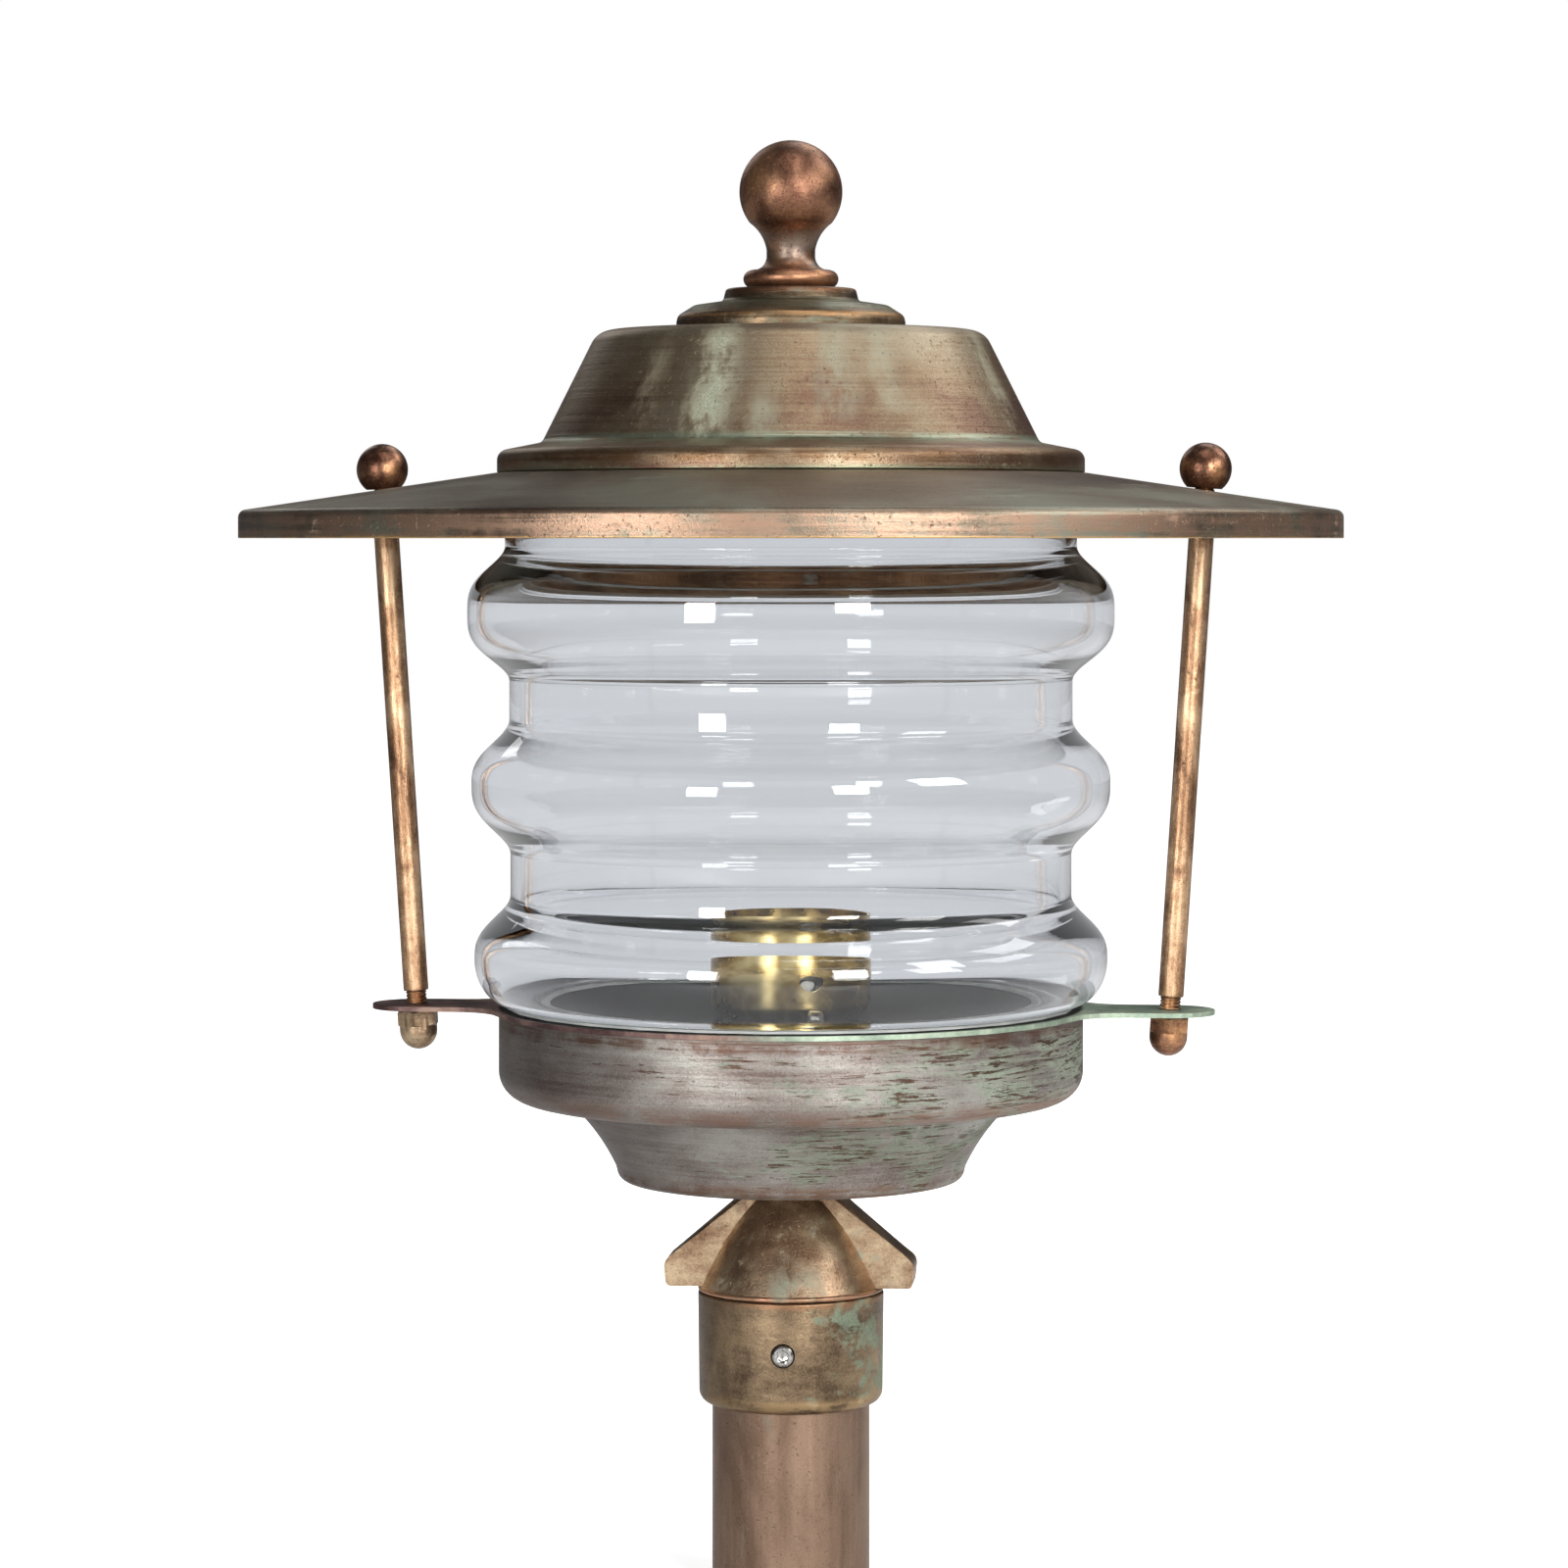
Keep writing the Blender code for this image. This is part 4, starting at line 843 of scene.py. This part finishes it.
def make_boss():
    """The stepped disc under the finial."""
    radius, low, high = span("finial_boss")
    # (radius, height, rounding), outwards and down over the steps
    outline = rounded(
        [
            (STUD_HOLE, high),
            (0.0248, high, 0.0014),
            (0.0258, high - 0.0040, 0.0004),
            (0.0266, high - 0.0049, 0.0010),
            (0.0372, high - 0.0065, 0.003),
            (0.0432, high - 0.0103, 0.0030),
            (radius, high - 0.0128, 0.0010),
            (radius, low, 0.0004),
            (STUD_HOLE, low),
        ]
    )
    look = weathered(
        "boss_copper",
        (srgb(76, 62, 48), srgb(104, 88, 68), srgb(136, 114, 88)),
        green=srgb(128, 136, 116),
        green_level=0.58,
        grain=(24, 24, 700),
        patches=(34, 34, 60),
        spin=-1.0,
        # The top and lowest bands are painted highlights on the edges; the middle one is verdigris between
        # the steps.
        bands=(
            (high - 0.0018, high, 0.0008, srgb(118, 82, 60), 0.8),
            (high - 0.0088, high - 0.0044, 0.0012, srgb(124, 128, 106), 0.8),
            (high - 0.0118, high - 0.0100, 0.0008, srgb(170, 132, 92), 0.8),
        ),
        shine=0.30,
        pits=0.8,
        offset=27.0,
    )
    turned("stepped_boss", outline, look, "roof", ["finial_boss"], FINE_SIDES)


def make_crown():
    """The roof's cone with its rounded shoulder."""
    radius, low, high = span("roof_crown")
    foot = low + 0.0114
    shoulder = low + 0.0080
    cone_head = 0.0738
    cone_foot = 0.0951
    outside = rounded(
        [
            (STUD_HOLE, high),
            (cone_head, high, 0.0085),
            (cone_foot, foot, 0.0032),
            (radius, shoulder, 0.0042),
            (radius, low, 0.0004),
            (ROOF_OPENING, low),
        ]
    )
    look = weathered(
        "crown_copper",
        METALS["crown"],
        green=srgb(168, 172, 150),
        green_level=0.645,
        grain=(9, 9, 560),
        patches=(16, 16, 22),
        spin=-1.0,
        runs=(
            (-104, 9.0, foot + 0.004, high, 0.95),
            (-73, 8.0, foot + 0.010, high, 0.50),
            (-60, 7.0, foot + 0.014, high, 0.40),
            (-91, 6.0, foot + 0.002, foot + 0.018, 0.55),
            (-122, 6.0, foot + 0.008, high - 0.008, 0.40),
            (-20, 8.0, foot + 0.010, high, 0.50),
            (35, 9.0, foot + 0.012, high, 0.70),
            (88, 8.0, foot + 0.006, high, 0.60),
            (150, 9.0, foot + 0.014, high, 0.80),
            (-172, 7.0, foot + 0.008, high, 0.60),
        ),
        bands=(
            (foot - 0.0012, foot + 0.0022, 0.0012, srgb(150, 158, 136), 0.9),
            (low + 0.0030, low + 0.0072, 0.0012, srgb(108, 82, 58), 1.0),
            (low - 0.0010, low + 0.0012, 0.0006, srgb(132, 136, 112), 0.9),
        ),
        shine=0.32,
        pits=0.45,
        offset=31.0,
    )
    turned("spun_crown", shell(outside, SHEET), look, "roof", ["roof_crown"], FINE_SIDES)


def make_brim():
    """The wide brim with its turned-down rim, and a hole for each rod's end."""
    radius, low, high = span("roof_brim")
    knee = 0.1132
    rim_top = low + 0.0105
    outside = rounded(
        [(ROOF_OPENING, high), (knee, high, 0.002), (radius, rim_top, 0.0030), (radius, low, 0.0004)]
    )
    look = weathered(
        "brim_copper",
        METALS["brim"],
        green=srgb(142, 150, 132),
        green_level=0.62,
        grain=(10, 10, 460),
        patches=(12, 12, 14),
        spin=-1.0,
        stains=srgb(104, 80, 64),
        stain_grain=(14, 14, 260),
        stain_level=0.62,
        bands=(
            (low + 0.0010, low + 0.0095, 0.0010, srgb(156, 127, 106), 0.95),
            # The golden lower edge is a painted highlight.
            (low - 0.001, low + 0.0008, 0.0005, srgb(190, 152, 104), 1.0),
        ),
        shine=0.32,
        pits=0.4,
        offset=37.0,
    )
    brim = turned("spun_brim", shell(outside, SHEET), look, "roof", ["roof_brim"], FINE_SIDES)
    hole_height = high - 0.006
    for side in (1, -1):
        place = Matrix.Translation((side * BRIM_HOLE_PLACE, 0, hole_height))
        drill(brim, rod_shape(BRIM_HOLE, 0.02, place))


def rod_frame(side):
    """The rod's length, and the place and lean of its foot on the plate, with Z up the rod."""
    plate_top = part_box("lug_plate")[1].z
    low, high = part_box({1: "ball_nut_right", -1: "ball_nut_left"}[side])
    foot = Vector((side * ROD_FOOT, 0, plate_top))
    head = Vector(((low.x + high.x) / 2, 0, high.z - (high.y - low.y) / 2))
    lean = atan2(head.x - foot.x, head.z - foot.z)
    return (head - foot).length, Matrix.Translation(foot) @ Matrix.Rotation(lean, 4, "Y")


def thread_profile(radius, top, bottom, pitch=0.00125, depth=0.0005):
    """Ridges from a higher to a lower height."""
    points = []
    z = top
    while z - pitch > bottom:
        points += [(radius - depth, z), (radius, z - 0.45 * pitch), (radius, z - 0.55 * pitch)]
        z -= pitch
    points.append((radius - depth, bottom))
    return points


def make_rods(steel):
    """Both tie rods with threaded ends, and the nuts on them."""
    look = weathered(
        "rod_brass",
        METALS["rod"],
        green=srgb(150, 140, 112),
        green_level=0.66,
        grain=(700, 700, 40),
        patches=(90, 90, 50),
        stains=srgb(104, 70, 48),
        stain_grain=(120, 120, 90),
        stain_level=0.61,
        shine=0.26,
        offset=41.0,
    )
    small = (60, 60, 60)
    copper = weathered(
        "cap_nut_copper", METALS["finial"], patches=small, green_level=0.68, shine=0.26, offset=43.0
    )
    brass = weathered(
        "cap_nut_brass", METALS["neck"], patches=small, green_level=0.70, shine=0.24, offset=45.0
    )
    ball = weathered(
        "ball_nut_copper",
        METALS["finial"],
        green_level=0.70,
        grain=(90, 90, 90),
        patches=small,
        shine=0.24,
        pits=0.7,
        offset=47.0,
    )
    thread = 0.004
    body = 0.0048
    edge = 0.0004
    body_foot = 0.0049
    lowest = -0.0135
    nut_bottom = 0.1865
    body_head = nut_bottom - GAP
    ends = ((1, "right", copper, "turned_copper"), (-1, "left", brass, "rod_brass"))
    for side, end, cap, slot in ends:
        length, place = rod_frame(side)
        rod_end = length + 0.003
        points = [(0, rod_end), (thread - 0.0008, rod_end)]
        points += thread_profile(thread, rod_end - 0.0006, body_head)
        points += rounded(
            [(thread, body_head), (body, body_head, edge), (body, body_foot, edge), (thread, body_foot)]
        )
        points += thread_profile(thread, body_foot - 0.0001, lowest)
        points.append((0, lowest))
        turned(f"rod_{end}", points, look, "head", [f"tie_rod_{end}"], SMALL_SIDES, place)
        make_cap_nut(f"domed_nut_{end}", f"cap_nut_{end}", cap, place)
        make_ball_nut(f"ball_{end}", f"ball_nut_{end}", ball, length, place)
        make_hex_nut(f"brim_nut_{end}", f"rod_nut_{end}", steel, nut_bottom, place)


def make_hex_nut(name, node, look, bottom, place):
    """A hexagon nut with chamfered corners and a bore."""
    flats = 0.013
    top = bottom + 0.0065
    hole = 0.0042
    edge = 0.0004
    inner = flats / 2 * 0.97

    def outline(angle):
        reach = hex_reach(flats, flats, angle)
        drop = (reach - inner) * tan(NUT_CHAMFER)
        return [
            (hole, top - edge),
            (hole + edge, top),
            (inner, top),
            (reach, top - drop),
            (reach, bottom + drop),
            (inner, bottom),
            (hole + edge, bottom),
            (hole, bottom + edge),
        ]

    hexed(name, outline, NUT_SIDES, True, look, "head", [node], place)


def make_cap_nut(name, node, look, place):
    """A chamfered hexagon with a dome below it."""
    flats = 0.0143
    top = -0.0027
    hexagon_foot = top - 0.006
    bottom = top - 0.015
    dome = 0.0072
    bore = 0.0043
    bore_end = -0.0141
    inner = flats / 2 * 0.98

    def outline(angle):
        reach = hex_reach(flats, flats, angle)
        drop = (reach - inner) * tan(NUT_CHAMFER)
        points = [(0, bore_end), (bore, bore_end), (bore, top), (inner, top), (reach, top - drop)]
        points += [(reach, hexagon_foot + drop), (dome, hexagon_foot)]
        points += [(p.x, p.y) for p in arc((0, bottom + dome), dome, 0, -90, 12)[:-1]]
        return points + [(0, bottom)]

    hexed(name, outline, NUT_SIDES, False, look, "head", [node], place)


def make_ball_nut(name, node, look, length, place):
    """A ball with a flat foot and a bore, with its centre at the rod's length."""
    radius = 0.0099
    flat = 0.0074
    bore = 0.005
    bore_end = length + 0.004
    ball = arc((0, length), radius, 90, -degrees(asin(flat / radius)), 30)
    ball[0] = Vector((0, length + radius))
    points = ball + [(bore, length - flat), (bore, bore_end), (0, bore_end)]
    turned(name, points, look, node, [node], SMALL_SIDES, place)


def swell(distance, height, power):
    """1 at a bulge's peak, falling smoothly to 0 at its whole height from it."""
    share = min(1.0, distance / height)
    return (1 + cos(pi * share**power)) / 2


# The glass's bulges from the top down: (peak above the foot, radius, reach above, power, reach below,
# power, how much shorter the inner side's upper reach is, and its lower reach)
BULGES = (
    (0.1491, 0.1235, 0.025, 1.6, 0.026, 1.7, 0.0050, 0.003),
    (0.0841, 0.1219, 0.024, 1.34, 0.027, 1.53, 0.0025, 0.003),
    (0.0171, 0.1208, 0.024, 1.4, 0.0171, 2.0, 0.0056, 0),
)
BETWEEN = (0.1092, 0.1075, 0.1071)  # radius over each bulge
GLASS_FOOT = 0.108
GLASS_WALL = 0.0040
GLASS_FOOT_WALL = 0.0045


def glass_side(low, high, wall=0.0, foot_wall=0.0, steps=22):
    """The glass's outer side from its top edge to its foot, or with walls its inner side."""
    between = [radius - wall for radius in BETWEEN]
    points = [(between[0], high)]
    for number, bulge in enumerate(BULGES):
        rise, radius, above, power_above, below, power_below, cut_above, cut_below = bulge
        peak = low + rise
        radius -= wall
        if wall:
            above -= cut_above
            below -= cut_below
        swing = radius - between[number]
        for k in range(steps):
            distance = above * (1 - k / steps)
            points.append((between[number] + swing * swell(distance, above, power_above), peak + distance))
        if number + 1 < len(BULGES):
            swing = radius - between[number + 1]
            for k in range(steps + 1):
                distance = below * k / steps
                share = swell(distance, below, power_below)
                points.append((between[number + 1] + swing * share, peak - distance))
        else:
            foot = GLASS_FOOT - foot_wall
            for k in range(steps + 1):
                turn = k / steps * pi / 2
                points.append((foot + (radius - foot) * cos(turn), peak - below * sin(turn)))
    return points


def make_glass():
    """The glass with its three bulges, open at both ends."""
    _, low, high = span("ribbed_glass")
    outer = glass_side(low, high)
    inner = glass_side(low, high, GLASS_WALL, GLASS_FOOT_WALL)
    turned("glass", outer + inner[::-1], clear_glass(), "glass", ["ribbed_glass"], FINE_SIDES)


def make_gallery():
    """The CAD gallery ring, in weathered brass."""
    look = weathered(
        "gallery_brass",
        METALS["rod"],
        green_level=0.62,
        grain=(12, 12, 300),
        patches=(20, 20, 30),
        spin=-1.0,
        shine=0.34,
        offset=51.0,
    )
    NODES["gallery_ring"].data.materials[0] = look


def dress_nodes(steel):
    """Materials for the CAD nodes that keep their shape."""
    looks = {
        "silicone": plain_solid("silicone", srgb(205, 208, 204), srgb(188, 192, 188), 0.5),
        "black_nylon": plain_solid("black_nylon", srgb(34, 34, 35), srgb(24, 24, 25), 0.45),
        "steel": steel,
        "wire_brown": plain_solid("wire_brown", srgb(88, 52, 34), srgb(74, 42, 28), 0.4),
        "wire_blue": plain_solid("wire_blue", srgb(44, 88, 158), srgb(36, 74, 138), 0.4),
        "wire_green": plain_solid("wire_green", srgb(74, 128, 60), srgb(182, 180, 60), 0.4),
    }
    for part in frame["record"]["subparts"]:
        look = looks.get(part["material_slot"])
        if look:
            NODES[part["node"]].data.materials[0] = look


# ---------------------------------------------------------------- studio


def make_floor():
    """A pale floor, seen white, that throws little light back up."""
    build = bmesh.new()
    bmesh.ops.create_grid(build, x_segments=1, y_segments=1, size=8)
    mesh = bpy.data.meshes.new("floor")
    build.to_mesh(mesh)
    build.free()
    floor = bpy.data.objects.new("floor", mesh)
    bpy.context.scene.collection.objects.link(floor)
    s = Shader("floor_paper")
    grain = s.noise((300, 300, 300))
    rays = s.node("ShaderNodeLightPath")
    white = s.mix(grain, (0.90, 0.90, 0.90, 1), (0.87, 0.87, 0.87, 1))
    far = s.add(0.62, s.times(s.step(s.radius(), 0.1, 0.8), 0.5))
    glow = s.add(
        s.times(rays.outputs["Is Camera Ray"], far),
        s.times(rays.outputs["Is Diffuse Ray"], 0.22),
        s.times(rays.outputs["Is Glossy Ray"], 0.06),
        s.times(rays.outputs["Is Singular Ray"], 0.20),
    )
    s.principled.inputs["Emission Color"].default_value = (1, 1, 1, 1)
    s.tree.links.new(glow, s.principled.inputs["Emission Strength"])
    paper = s.finish(white, 0.8, 0.0)
    behind_glass = s.node("ShaderNodeEmission", {"Color": THROUGH_GLASS})
    shares = {0: rays.outputs["Is Transmission Ray"], 1: s.principled.outputs[0], 2: behind_glass.outputs[0]}
    mixed = s.node("ShaderNodeMixShader", shares)
    s.tree.links.new(mixed.outputs[0], s.tree.nodes["Material Output"].inputs["Surface"])
    mesh.materials.append(paper)


THROUGH_GLASS = (0.70, 0.71, 0.745, 1)


def make_world():
    """White where it is seen, grey through the glass, and dim where metal mirrors it."""
    world = bpy.data.worlds.new("studio")
    bpy.context.scene.world = world
    world.use_nodes = True
    tree = world.node_tree
    rays = tree.nodes.new("ShaderNodeLightPath").outputs
    shader = tree.nodes["Background"].outputs[0]
    tree.nodes["Background"].inputs["Color"].default_value = (0.06, 0.06, 0.065, 1)
    layers = (
        ("Is Singular Ray", (0.50, 0.51, 0.53, 1)),
        ("Is Transmission Ray", THROUGH_GLASS),
        ("Is Camera Ray", (1, 1, 1, 1)),
    )
    for ray, colour in layers:
        seen = tree.nodes.new("ShaderNodeBackground")
        seen.inputs["Color"].default_value = colour
        mixed = tree.nodes.new("ShaderNodeMixShader")
        tree.links.new(rays[ray], mixed.inputs[0])
        tree.links.new(shader, mixed.inputs[1])
        tree.links.new(seen.outputs[0], mixed.inputs[2])
        shader = mixed.outputs[0]
    tree.links.new(shader, tree.nodes["World Output"].inputs["Surface"])


# Softboxes: (name, degrees to the right of the front, degrees up, distance, width, height, watts)
SOFTBOXES = (
    ("front_left", -26, 8, 2.2, 0.40, 0.7, 21),
    ("front_right", 26, 13, 2.2, 0.46, 0.8, 30),
    ("right", 62, 28, 2.0, 0.6, 0.7, 14),
    ("high_right", 114, 46, 2.0, 0.9, 0.8, 10),
    ("top", 25, 66, 1.9, 1.0, 1.0, 10),
    ("top_back", 165, 50, 2.0, 0.9, 0.7, 5),
    ("back_left", -150, 30, 2.2, 0.5, 0.8, 2),
)


def make_lights():
    """Area lights aimed at the part's middle."""
    middle = Vector((0, 0, 0.30))
    for name, turn, rise, distance, width, height, watts in SOFTBOXES:
        light = bpy.data.lights.new(name, "AREA")
        light.shape = "RECTANGLE"
        light.size = width
        light.size_y = height
        light.energy = watts
        lamp = bpy.data.objects.new(name, light)
        level = cos(radians(rise))
        away = Vector((sin(radians(turn)) * level, -cos(radians(turn)) * level, sin(radians(rise))))
        lamp.location = middle + distance * away
        lamp.rotation_euler = (-away).to_track_quat("-Z", "Y").to_euler()
        bpy.context.scene.collection.objects.link(lamp)


def make_camera():
    """A camera level with the rim, so that the rim is seen edge on."""
    scene = bpy.context.scene
    data = bpy.data.cameras.new("camera")
    data.lens = CAMERA_LENS
    data.sensor_width = 36
    data.shift_x, data.shift_y = CAMERA_SHIFT
    camera = bpy.data.objects.new("camera", data)
    camera.location = (
        CAMERA_DISTANCE * sin(CAMERA_AZIMUTH),
        -CAMERA_DISTANCE * cos(CAMERA_AZIMUTH),
        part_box("roof_brim")[0].z,
    )
    camera.rotation_euler = (pi / 2, 0, CAMERA_AZIMUTH)
    scene.collection.objects.link(camera)
    scene.camera = camera
    scene.view_settings.view_transform = "Standard"


STEEL = plain_metal("plated_steel", srgb(186, 184, 178), srgb(132, 128, 120))

make_floor()
make_world()
make_lights()
make_camera()
dress_nodes(STEEL)
make_pole()
make_collar()
make_neck()
make_set_screw()
make_lower_cup()
make_dish()
make_plate()
make_lamp_cup()
make_lampholder()
make_rods(STEEL)
make_glass()
make_gallery()
make_brim()
make_crown()
make_boss()
make_finial()
